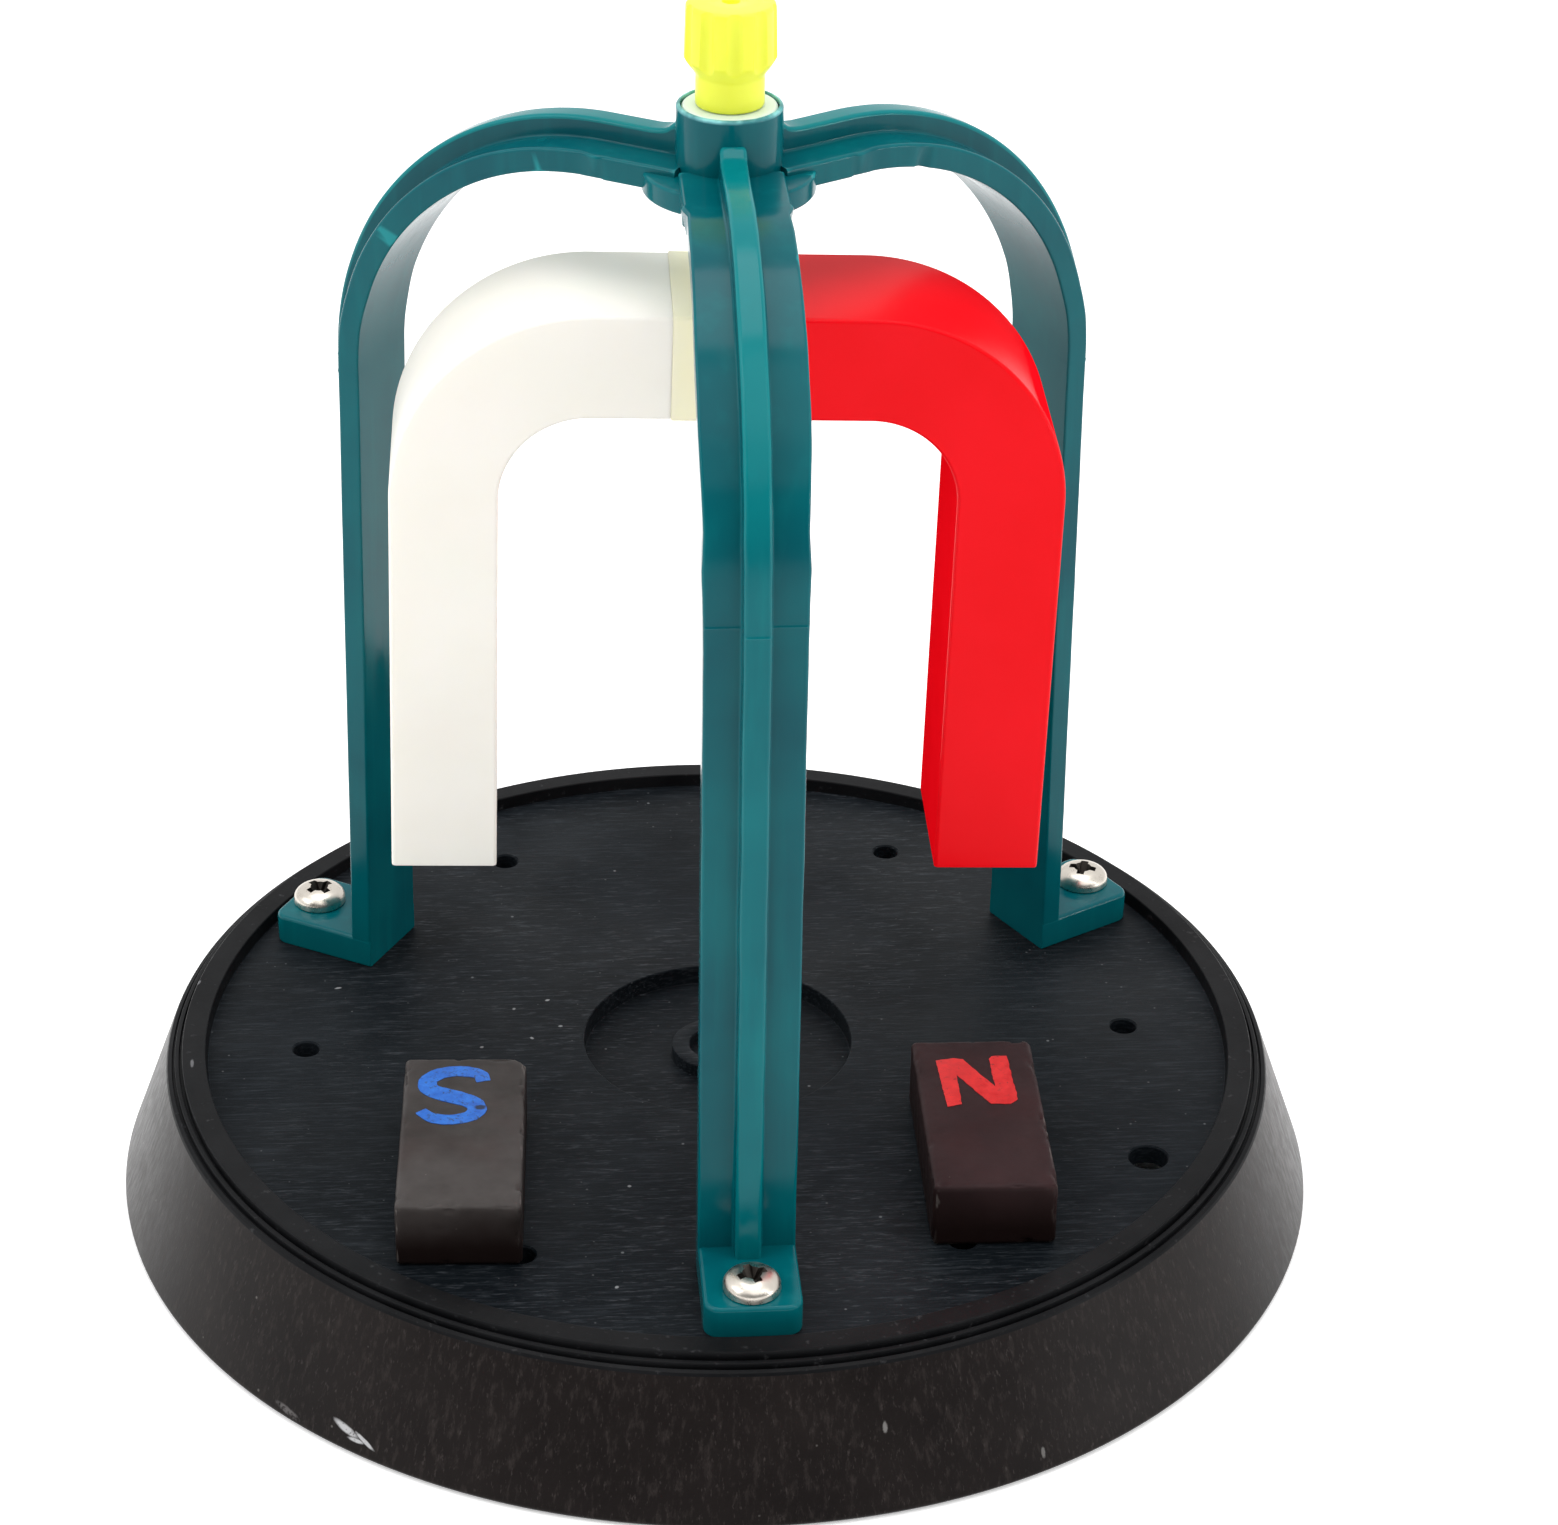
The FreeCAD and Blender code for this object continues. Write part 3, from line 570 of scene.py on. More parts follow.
def paint_material(name, a, b, under, wear=0.62, chip=None):
    m = Mat(name, Roughness=0.4, IOR=1.45)
    n = m.noise(700, 4, 0.65)
    w = m.noise(1500, 3, 0.7)
    col = m.mix(m.range(n, 0.3, 0.7), a, b)
    col = m.mix(m.range(w, wear, wear + 0.10, 0, 0.8), col, under)
    if chip:
        col = m.mix(m.math("MULTIPLY", m.spot(chip, (0.75, 0.55, 1.0), ragged=0.25), 0.9), col, (0.006, 0.006, 0.007))
    m.set("Base Color", col)
    m.set("Roughness", m.range(n, 0.3, 0.7, 0.3, 0.5))
    m.set("Normal", m.bump(w, 0.3, 0.05))
    return m.mat


FLOOR_MAT = base_floor_material()
SKIRT_MAT = base_skirt_material()
UNDER_MAT = base_under_material()
RIM_MAT = base_rim_material()
TEAL = teal_material("frame_teal_plastic", (0.0, 0.078, 0.100), (0.0, 0.120, 0.138), (0.001, 0.180, 0.195))
# painted light: a paler copy of the same teal plastic for the rib, standing in for the light it catches
TEAL_RIB_LIT = teal_material("frame_teal_rib_painted_light", (0.0, 0.104, 0.124), (0.001, 0.146, 0.164), (0.002, 0.235, 0.245), arch_highlight=0.5)
NICKEL = metal_material("screw_nickel", (0.58, 0.53, 0.46), (0.78, 0.73, 0.66), 0.30).mat
# painted shade: a dark metal for the faces of the cross recess
RECESS_SHADE = metal_material("screw_recess_painted_shade", (0.035, 0.030, 0.026), (0.10, 0.09, 0.08), 0.55).mat
STEEL = metal_material("ground_steel", (0.48, 0.48, 0.48), (0.6, 0.6, 0.6), 0.3, 1500).mat
BUSH = gloss_material("bush_nylon", (0.70, 0.84, 0.78), (0.78, 0.90, 0.84), 0.32, sss=0.4, sss_rgb=(0.6, 0.8, 0.6)).mat
KNOB = gloss_material("knob_yellow", (0.84, 0.88, 0.055), (0.90, 0.94, 0.090), 0.30, sss=0.35, sss_rgb=(1.0, 0.95, 0.3), spec=0.25).mat
SLEEVE = gloss_material("holder_pale_yellow", (0.92, 0.86, 0.60), (0.95, 0.90, 0.66), 0.28, sss=0.2, sss_rgb=(1, 0.9, 0.5), bump=0.01).mat
RED = gloss_material("magnet_red_plastic", (0.84, 0.0025, 0.007), (0.89, 0.004, 0.011), 0.20, bump=0.012, spec=0.08, graze=0.0).mat
WHITE = gloss_material("magnet_cream_plastic", (0.89, 0.855, 0.775), (0.92, 0.885, 0.82), 0.26, sss=0.15,
                       sss_rgb=(1, 0.9, 0.7), bump=0.008,
                       tints=((0.31, (0.91, 0.83, 0.79), 0.3), (0.77, (0.86, 0.89, 0.79), 0.3)), spec=0.2).mat
POLE = metal_material("pole_ferrite_grey", (0.030, 0.028, 0.027), (0.062, 0.058, 0.054), 0.5, 700).mat
S_FERRITE = ferrite_material("block_s_grey_brown", (0.038, 0.034, 0.032), (0.068, 0.061, 0.059), (0.050, 0.032, 0.030), 0.46).mat
N_FERRITE = ferrite_material("block_n_maroon", (0.019, 0.009, 0.010), (0.034, 0.017, 0.018), (0.038, 0.011, 0.012), 0.5).mat
BLUE_PAINT = paint_material("paint_blue", (0.008, 0.095, 0.46), (0.022, 0.18, 0.66), (0.02, 0.03, 0.05), wear=0.57, chip=(-32.9, -29.0, 27.7))
RED_PAINT = paint_material("paint_red", (0.50, 0.008, 0.010), (0.68, 0.018, 0.018), (0.09, 0.012, 0.012))

# ================================================================== base
SLOPE = (81.7 - 75.15) / 18.4


def skirt_in(z):
    return 81.7 - 2.6 - SLOPE * z


# outline of the moulding: (r, z, corner radius, kind) with kind 0 floor, 1 skirt, 2 underside;
# the kind is that of the surface from this corner to the next
outline = [
    (skirt_in(0.0), 0.0, 0.15, 2), (81.2, 0.0, 0.12, 1), (81.7, 0.5, 0.5, 1),
    (75.15, 18.4, 0.25, 3), (74.95, 18.75, 0.12, 3), (74.35, 18.95, 0.10, 3), (74.35, 18.55, 0.05, 3), (74.0, 18.55, 0.05, 3),
    (74.0, 19.5, 0.12, 3), (73.4, 19.6, 0.10, 3), (73.4, 19.0, 0.05, 3), (73.0, 19.0, 0.05, 3),
    (73.0, 20.5, 0.22, 3), (69.78, 20.5, 0.25, 3), (69.6, 18.5, 0.2, 0),
    (18.35, 18.5, 0.22, 0), (18.35, 15.7, 0.25, 0), (6.3, 15.7, 0.1, 0), (6.3, 17.55, 0.2, 0), (3.9, 17.55, 0.2, 0),
    (3.9, 15.7, 0.1, 0), (1.8, 15.7, 0.12, 0), (1.8, 13.2, 0.12, 2),
    (20.95, 13.2, 0.3, 2), (20.95, 15.8, 0.3, 2), (skirt_in(15.8), 15.8, 0.6, 2)]
prof, kinds = [], []
N_OUT = len(outline)
for i, (r, z, rad, kind) in enumerate(outline):
    prev, nxt = outline[i - 1], outline[(i + 1) % N_OUT]
    piece = rounded([prev[:2], (r, z), nxt[:2]], [0, rad, 0], seg=3, closed=False)[1:-1]
    prof += piece
    kinds += [kind] * len(piece)
# the long faces get more rings, so that chips and shading have points to work on
fine_prof, fine_kinds = [], []
for i in range(len(prof)):
    a, b = prof[i], prof[(i + 1) % len(prof)]
    ln = math.dist(a, b)
    cuts = 1
    if kinds[i] == 1 and ln > 5:
        cuts = 8
    elif ln > 20:
        cuts = 4
    for k in range(cuts):
        t = k / cuts
        fine_prof.append((a[0] * (1 - t) + b[0] * t, a[1] * (1 - t) + b[1] * t))
        fine_kinds.append(kinds[i])
v, f, seg = lathe(fine_prof, 360)
base = raw_mesh("base_moulding", v, f)
base.data.polygons.foreach_set("material_index", [fine_kinds[s] for s in seg])

# screw bosses with a web out to the skirt
LEG_AZ = (-90.0, 30.0, 150.0)
BASE_MATS = [FLOOR_MAT, SKIRT_MAT, UNDER_MAT, RIM_MAT]
for m_ in BASE_MATS:
    base.data.materials.append(m_)
bv, bf = [], []
for az in LEG_AZ:
    loops = []
    for z in (4.0, 4.2, 16.1):
        rr = 3.8 if z == 4.0 else 4.0
        wv = 0.7 if z == 4.0 else 0.9
        end = skirt_in(min(z, 15.5)) + 0.9
        lp = []
        a0 = math.asin(wv / rr)
        for k in range(41):
            a = a0 + (2 * math.pi - 2 * a0) * k / 40
            lp.append((63.34 + rr * math.cos(a), rr * math.sin(a), z))
        lp += [(end, -wv, z), (end, wv, z)]
        loops.append(turn_z(lp, az))
    v, f = loft(loops)
    o = len(bv)
    bv += v
    bf += [tuple(i + o for i in face) for face in f]
bosses = raw_mesh("bosses", bv, bf)
bosses.data.materials.append(UNDER_MAT)
boolean(base, bosses, "UNION")


def hole_cutter(r, x, y, z0, z1, chamfer=0.22, n=48):
    """A drill with a small countersink at the floor."""
    p = [(0, z0), (r, z0), (r, 18.5 - chamfer), (r + chamfer + 0.3, 18.8), (r + chamfer + 0.3, z1), (0, z1)]
    v, f, _ = lathe(p, n)
    return [(a + x, b + y, c) for a, b, c in v], f


cv, cf = [], []
cut_list = [(1.8, *polar(56.3, 60.0 * i), 10.0, 20.0) for i in range(6)]
cut_list.append((2.6, *polar(63.3, -30.0), 10.0, 20.0))
for r, x, y, z0, z1 in cut_list:
    v, f = hole_cutter(r, x, y, z0, z1)
    o = len(cv)
    cv += v
    cf += [tuple(i + o for i in face) for face in f]
for az in LEG_AZ:
    x, y = polar(63.34, az)
    v, f, _ = lathe([(0, 2.0), (2.2, 2.0), (1.75, 4.4), (1.75, 19.5), (0, 19.5)], 40)
    o = len(cv)
    cv += [(a + x, b + y, c) for a, b, c in v]
    cf += [tuple(i + o for i in face) for face in f]
cutter = raw_mesh("holes", cv, cf)
cutter.data.materials.append(FLOOR_MAT)
boolean(base, cutter, "DIFFERENCE")
clean(base)
finish(base, BASE_MATS, "base", ["base_body"], sharp=28)

# ================================================================== tripod frame
PLATE_T, RIB_H, RIB_HALF = 3.1, 2.8, 1.65
SPLAY = math.radians(0.8)
FOOT_R, ARC_RI, ARC_ZI = 51.5, 33.35, 143.4
ARC_Z = ARC_ZI - ARC_RI
ARC_R = (math.cos(SPLAY) * FOOT_R + math.sin(SPLAY) * 18.5 - ARC_RI - ARC_Z * math.sin(SPLAY)) / math.cos(SPLAY)
# half width of the plate by height on the outer part, and by radius on the upper part
HALF_BY_Z = ((0.0, 6.16), (105.0, 6.16), (112.9, 6.25), (116.5, 6.38), (121.3, 6.15), (125.3, 5.97), (129.0, 5.85), (133.0, 5.77))
HALF_BY_R = ((0.0, 6.5), (14.4, 6.5), (15.2, 6.78), (17.3, 6.16), (22.0, 6.0), (31.0, 5.93), (39.0, 5.77), (75.0, 5.77))
PARTING_Z = 109.7


def leg_half(r, z):
    """Half width of the plate: widest at the small lugs by the hub, narrow over the arch, wider again on the straight leg."""
    table = HALF_BY_Z if (z < 133.0 and r > 30.0) else HALF_BY_R
    return float(np.interp(z if table is HALF_BY_Z else r, [p[0] for p in table], [p[1] for p in table]))


def leg_section(h, rib=RIB_HALF):
    """Closed outline (w, o) of plate and rib: w across, o outwards from the inner face."""
    T, H = PLATE_T, RIB_H
    half = [(0.0, 0.0), (h, 0.0), (h, T), (rib + 0.03, T), (rib, T + H), (0.0, T + H)]
    right = rounded(half, [0, 0.32, 0.42, 0.38, 0.55, 0], seg=4, closed=False)
    right = right[:1] + [(h * 0.5, 0.0)] + right[1:]
    left = [(-w, o) for w, o in reversed(right[1:-1])]
    return right + left


def leg_mesh(seed, nicks=()):
    """One leg. nicks: (radius, height, side, size) of small chips in the plate's edges."""
    stations = []
    n_flat = 26
    for k in range(n_flat):
        stations.append((4.2 + (ARC_R - 4.2) * k / n_flat, ARC_ZI, 0.0, 1.0))
    n_arc = 84
    for k in range(n_arc + 1):
        a = (math.pi / 2 - SPLAY) * k / n_arc
        stations.append((ARC_R + ARC_RI * math.sin(a), ARC_Z + ARC_RI * math.cos(a), math.sin(a), math.cos(a)))
    z_end = ARC_Z + ARC_RI * math.sin(SPLAY)
    zs = [z_end - (z_end - 18.62) * k / 46.0 for k in range(1, 47)]
    # the mould's parting line across the leg
    zs = [z for z in zs if abs(z - PARTING_Z) > 0.8] + [PARTING_Z + d for d in (0.35, 0.15, 0.0, -0.15, -0.35)]
    for z in sorted(zs, reverse=True):
        stations.append((ARC_R + (ARC_RI - (z - ARC_Z) * math.sin(SPLAY)) / math.cos(SPLAY), z, math.cos(SPLAY), math.sin(SPLAY)))
    loops = []
    for r, z, nr, nz in stations:
        sh = 0.05 * wobble(r, 0, z, 0.09, seed) + 0.02 * wobble(r, 3, z, 0.4, seed)
        more = 0.05 * wobble(r, 9, z, 0.12, seed + 5)
        rb = RIB_HALF + 0.05 * wobble(r, 5, z, 0.16, seed + 9)
        line = 0.10 * math.exp(-((z - PARTING_Z) / 0.16) ** 2) if r > 45 else 0.0
        # the rib runs up the hub in a small blend
        rise = float(np.interp(r, (6.9, 7.4, 8.3, 9.9), (1.3, 0.65, 0.2, 0.0))) if nz > 0.999 else 0.0
        lp = []
        for w, o in leg_section(6.16, rb):
            x, zz = r + nr * o, z + nz * o
            if abs(w) > 5.0:
                half = leg_half(x, zz)
                if o < 1.5 and 14.0 < x < 18.0:
                    half = min(half, 6.25)      # the small lugs stand out only at the top of the plate
                w += math.copysign(half - 6.16 + more, w)
            on_rib = o > PLATE_T + 0.2
            if on_rib:
                o += rise * (o - PLATE_T) / RIB_H
            w2 = w + (sh * 1.6 if on_rib else sh)
            o2 = o + (line if (o > PLATE_T - 0.3) else 0.0)
            for nr_, nz_, side, size in nicks:
                d = math.dist((x, w2, zz), (nr_, side * 5.9, nz_)) / size
                if d < 1:
                    w2 -= side * 0.55 * size * (1 - d * d) ** 2
            lp.append((r + nr * o2, w2, z + nz * o2))
        loops.append(lp)
    # painted light: the rib gets its own, slightly paler copy of the teal, standing in for the light it catches
    ribs = [o > PLATE_T + 0.5 for _, o in leg_section(6.16)]
    v, f = loft(loops)
    n = len(ribs)
    marks = [1 if (len(face) == 4 and all(ribs[i % n] for i in face)) else 0 for face in f]
    return v, f, marks


hub_prof = rounded([(0, 142.7), (10.74, 142.7), (10.74, 145.6), (6.6, 145.6), (6.6, 153.8), (0, 153.8)],
                   [0, 0.45, 0.4, 0.5, 0.42, 0], seg=4)
v, f, _ = lathe(hub_prof, 128)
tripod = raw_mesh("tripod_moulding", v, f)
FRAME_MATS = [TEAL, TEAL_RIB_LIT]
for m_ in FRAME_MATS:
    tripod.data.materials.append(m_)
for i, az in enumerate(LEG_AZ):
    v, f, marks = leg_mesh(11.0 * i + 2.0, ((25.0, 143.0, -1, 1.5), (22.6, 144.4, -1, 0.8)) if az == 30.0 else ())
    leg = raw_mesh("leg", turn_z(v, az), f)
    for m_ in FRAME_MATS:
        leg.data.materials.append(m_)
    leg.data.polygons.foreach_set("material_index", marks)
    boolean(tripod, leg, "UNION")
for az in LEG_AZ:
    # foot tab, rounded at its outer corners and along its top edge
    loops = []
    x0, x1, hw = 51.46, 67.5, 6.2
    for inset, z in ((0.25, 18.5), (0.06, 18.6), (0.0, 18.8), (0.0, 22.3), (0.10, 22.62), (0.29, 22.82), (0.55, 22.9)):
        xa, xb = x0 + inset * 0.2, x1 - inset
        base_loop = [(xa, -hw + inset), (xb, -hw + inset), (xb, hw - inset), (xa, hw - inset)]
        lp = rounded(base_loop, [0.15, 2.1 - inset, 2.1 - inset, 0.15], seg=8)
        loops.append([(a, b, z) for a, b in lp])
    v, f = loft(loops)
    boolean(tripod, raw_mesh("tab", turn_z(v, az), f), "UNION")
v, f, _ = lathe(rounded([(0, 140), (3.85, 140), (3.85, 152.4), (6.0, 152.4), (6.03, 153.5), (6.2, 154.4), (0, 154.4)],
                        [0, 0, 0, 0, 0.2, 0, 0], seg=3), 128)
boolean(tripod, raw_mesh("bore", v, f), "DIFFERENCE")
cv, cf = [], []
for az in LEG_AZ:
    x, y = polar(63.34, az)
    v, f, _ = lathe([(0, 17), (2.0, 17), (2.0, 24), (0, 24)], 40)
    o = len(cv)
    cv += [(a + x, b + y, c) for a, b, c in v]
    cf += [tuple(i + o for i in face) for face in f]
boolean(tripod, raw_mesh("foot_holes", cv, cf), "DIFFERENCE")
clean(tripod)
finish(tripod, FRAME_MATS, "base", ["tripod_frame"], sharp=33)

# ================================================================== foot screws
z0 = 22.9
head = [(0, z0), (3.45, z0), (3.62, z0 + 0.17), (3.62, z0 + 0.8)]
for k in range(1, 13):
    t = math.radians(7.5 * k)
    head.append((3.62 * math.cos(t) * 0.62 + 3.62 * 0.38 * math.cos(t) ** 0.35 if k < 12 else 0.0, z0 + 0.8 + 1.65 * math.sin(t)))
head[-1] = (0.0, z0 + 2.45)
shank = [(0, z0 - 13.0), (0.25, z0 - 13.0), (1.71, z0 - 10.8), (1.71, z0 + 0.2), (0, z0 + 0.2)]
for name, az, turn in (("screw_front", -90.0, 22.0), ("screw_right", 30.0, 70.0), ("screw_left", 150.0, 38.0)):
    v, f, _ = lathe(head, 72)
    sc = raw_mesh(name, v, f)
    v, f, _ = lathe(shank, 40)
    boolean(sc, raw_mesh("shank", v, f), "UNION")
    for m_ in (NICKEL, RECESS_SHADE):
        sc.data.materials.append(m_)

    def recess(v, f):
        """Cut with a tool whose faces keep the dark recess metal, painted shade in the head."""
        tool = raw_mesh("recess_tool", v, f)
        for m_ in (NICKEL, RECESS_SHADE):
            tool.data.materials.append(m_)
        tool.data.polygons.foreach_set("material_index", [1] * len(tool.data.polygons))
        boolean(sc, tool, "DIFFERENCE")
    for k in range(2):
        zt = z0 + 2.6
        lo = [(0.7, 0.40), (-0.7, 0.40), (-0.7, -0.40), (0.7, -0.40)]
        hi = [(2.15, 0.56), (-2.15, 0.56), (-2.15, -0.56), (2.15, -0.56)]
        v, f = loft([[(a, b, zt - 1.75) for a, b in lo], [(a, b, zt) for a, b in hi]])
        recess(turn_z(v, 90.0 * k), f)
    v, f, _ = lathe([(0, z0 + 0.9), (0.5, z0 + 0.9), (1.35, z0 + 2.6), (0, z0 + 2.6)], 24)
    recess(v, f)
    x, y = polar(63.34, az)
    sc.data.transform(Matrix.Translation((x * MM, y * MM, 0)) @ Matrix.Rotation(math.radians(turn), 4, "Z"))
    clean(sc, 0.002)
    finish(sc, [NICKEL, RECESS_SHADE], "base", ["foot_screws"], sharp=30)

# ================================================================== hub bush
v, f, _ = lathe(rounded([(2.06, 141.7), (3.8, 141.7), (3.8, 152.4), (5.9, 152.4), (5.9, 153.7), (2.06, 153.7)],
                        [0.1, 0.2, 0, 0.05, 0.4, 0.15], seg=4), 128)
finish(raw_mesh("bush_flange", v, f), BUSH, "base", ["hub_bush"], sharp=40)


# ================================================================== finger knob
def knob_radius(z):
    if z <= 157.65:
        return 4.24
    if z <= 159.85:
        t = (z - 157.65) / 2.2
        return 4.24 + 1.44 * (t * t * (3 - 2 * t) * 0.3 + t * 0.7)
    return 5.68 - 0.18 * (z - 159.85) / 6.85


zs = [153.8, 153.87, 154.0] + [154.3 + 0.5 * k for k in range(7)] + [157.65 + 0.22 * k for k in range(0, 11)]
zs += [160.2 + 0.55 * k for k in range(12)]
rows = [(z, knob_radius(z) - (0.2 if z == 153.8 else 0.08 if z == 153.87 else 0.0)) for z in zs if z < 166.05]
for k in range(0, 7):
    t = math.radians(15.0 * k)
    rows.append((166.1 + 0.6 * math.sin(t), 4.9 + 0.6 * math.cos(t)))
NK = 480
RC, RHO = 6.28, 1.25
loops = []
for z, R in rows:
    lp = []
    for k in range(NK):
        th = 2 * math.pi * k / NK
        rel = (math.degrees(th) + 88.8 + 18.0) % 36.0 - 18.0
        phi = math.radians(rel)
        r = R
        s = RHO ** 2 - (RC * math.sin(phi)) ** 2
        if z > 157.2 and s > 0:
            r = min(R, RC * math.cos(phi) - math.sqrt(s))
        lp.append((r * math.cos(th), r * math.sin(th), z))
    loops.append(lp)
# flat top, in to the centre dimple
for r, z in ((4.2, 166.7), (3.0, 166.7), (1.25, 166.7), (1.12, 166.62), (1.05, 166.4), (1.0, 165.6), (0.55, 165.5)):
    loops.append([(r * math.cos(2 * math.pi * k / NK), r * math.sin(2 * math.pi * k / NK), z) for k in range(NK)])
v, f = loft(loops)
knob = raw_mesh("finger_knob_moulding", v, f)
v, f, _ = lathe([(0, 152), (2.03, 152), (2.03, 164.3), (0, 164.3)], 64)
boolean(knob, raw_mesh("knob_bore", v, f), "DIFFERENCE")
clean(knob, 0.002)
finish(knob, KNOB, "rotor", ["finger_knob"], sharp=38)

# ================================================================== horseshoe magnet and its holder
YAW, LEAN, LEAN_Z = -1.3, 1.1, 107.2
HALF, W, D, ZT, ZB, RO = 42.4, 13.65, 21.4, 130.0, 52.15, 25.0
XC, ZC = HALF - RO, ZT - RO
RM = RO - W / 2
EDGE = 0.5


def lean(points):
    """The magnet and its sleeve hang slightly askew; the neck stays upright."""
    a = math.radians(LEAN)
    c, s = math.cos(a), math.sin(a)
    return [(x * c + (z - LEAN_Z) * s, y, LEAN_Z - x * s + (z - LEAN_Z) * c) for x, y, z in points]


def limb_frames():
    """Points of the magnet's middle line with the outward normal, from the holder to the pole end."""
    out = []
    x0 = 7.52
    for x in (x0, x0 + 0.06, x0 + 0.25, x0 + 3, x0 + 6):
        out.append((x, ZC + RM, 0.0, 1.0))
    for k in range(0, 65):
        a = math.pi / 2 * k / 64.0
        out.append((XC + RM * math.sin(a), ZC + RM * math.cos(a), math.sin(a), math.cos(a)))
    for z in (100, 95, 90, 85, 80, 75, 70, 65, 60, 55, ZB + 0.3, ZB + 0.08, ZB):
        out.append((XC + RM, z, 1.0, 0.0))
    return out


def half_magnet(seed, dents=()):
    frames = limb_frames()
    loops = []

    def loop_at(fr, hw, hd, r):
        x, z, nx, nz = fr
        return [(x + nx * o, y, z + nz * o) for o, y in rect_loop(hw, hd, r, 5, 5)]
    first, last = frames[0], frames[-1]
    tongue = (0.06, first[1], 0.0, 1.0)
    loops.append(loop_at(tongue, W / 2 - 2.12, D / 2 - 2.12, 0.25))
    loops.append(loop_at(first, W / 2 - 2.12, D / 2 - 2.12, 0.25))
    for i, fr in enumerate(frames):
        inset = {0: 0.05, 1: 0.02, len(frames) - 2: 0.03, len(frames) - 1: 0.14}.get(i, 0.0)
        lp = loop_at(fr, W / 2 - inset, D / 2 - inset, EDGE)
        if inset == 0:
            lp = [(x + 0.02 * wobble(x, y, z, 0.05, seed), y + 0.02 * wobble(x, y, z, 0.05, seed + 7),
                   z + 0.02 * wobble(x, y, z, 0.05, seed + 3)) for x, y, z in lp]
            for cx, cy, cz, cr, depth in dents:
                lp = [(x, y + (depth * (1 - (math.dist((x, y, z), (cx, cy, cz)) / cr) ** 2) ** 2 if math.dist((x, y, z), (cx, cy, cz)) < cr else 0.0), z)
                      for x, y, z in lp]
        loops.append(lp)
    loops.append(loop_at(last, W / 2 - 2.0, D / 2 - 2.0, 0.25))
    loops.append(loop_at((last[0], 80.0, 1.0, 0.0), W / 2 - 2.0, D / 2 - 2.0, 0.25))
    return loft(loops)


for name, flip, mat, slot, node, seed in (("magnet_red_shell", 0.0, RED, "magnet_red", "magnet_half_red", 3.0),
                                          ("magnet_cream_shell", 180.0, WHITE, "magnet_white", "magnet_half_white", 8.0)):
    v, f = half_magnet(seed)
    finish(raw_mesh(name, turn_z(lean(turn_z(v, flip)), YAW), f), mat, "rotor", [node], sharp=35)

loops = []
zm = ZT - W / 2
oz, oy = W / 2 + 0.15, D / 2 + 0.15
for x, inset in ((-7.5, 0.08), (-7.45, 0.03), (-7.3, 0.0), (-3.6, 0.0), (0.0, 0.0), (3.6, 0.0), (7.3, 0.0), (7.45, 0.03), (7.5, 0.08)):
    loops.append([(x, y, zm + o) for o, y in rect_loop(oz - inset, oy - inset, EDGE, 5, 5)])
for x in (7.5, -7.5):
    loops.append([(x, y, zm + o) for o, y in rect_loop(W / 2 - 2.0, D / 2 - 2.0, 0.2, 5, 5)])
v, f = loft(loops, ring=True)
sleeve = raw_mesh("holder_sleeve", lean(v), f)
v, f, _ = lathe(rounded([(0, 128.6), (4.6, 128.6), (4.6, 130.2), (4.0, 130.95), (4.0, 140.4), (0, 140.4)], [0, 0, 0, 0.6, 0.25, 0], seg=4), 72)
boolean(sleeve, raw_mesh("neck", v, f), "UNION")
v, f, _ = lathe([(0, 127.9), (2.03, 127.9), (2.03, 141.4), (0, 141.4)], 56)
boolean(sleeve, raw_mesh("neck_bore", v, f), "DIFFERENCE")
v, f, _ = lathe([(0, -6), (0.83, -6), (0.83, 6), (0, 6)], 32)
boolean(sleeve, raw_mesh("pin_bore", [(x, z, y + 135.5) for x, y, z in v], f), "DIFFERENCE")
sleeve.data.transform(Matrix.Rotation(math.radians(YAW), 4, "Z"))
clean(sleeve, 0.002)
finish(sleeve, SLEEVE, "rotor", ["magnet_holder"], sharp=33)

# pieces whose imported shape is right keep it, with a better finish
nodes = frame["nodes"]
for node, mat in (("axle", STEEL), ("thrust_washer", BUSH), ("holder_pin", STEEL), ("pole_magnet_red", POLE),
                  ("pole_magnet_white", POLE), ("pole_cap_red", RED), ("pole_cap_white", WHITE)):
    ob = nodes[node]
    if not ob.material_slots:
        continue
    for s in ob.material_slots:
        s.link = "OBJECT"
        s.material = mat


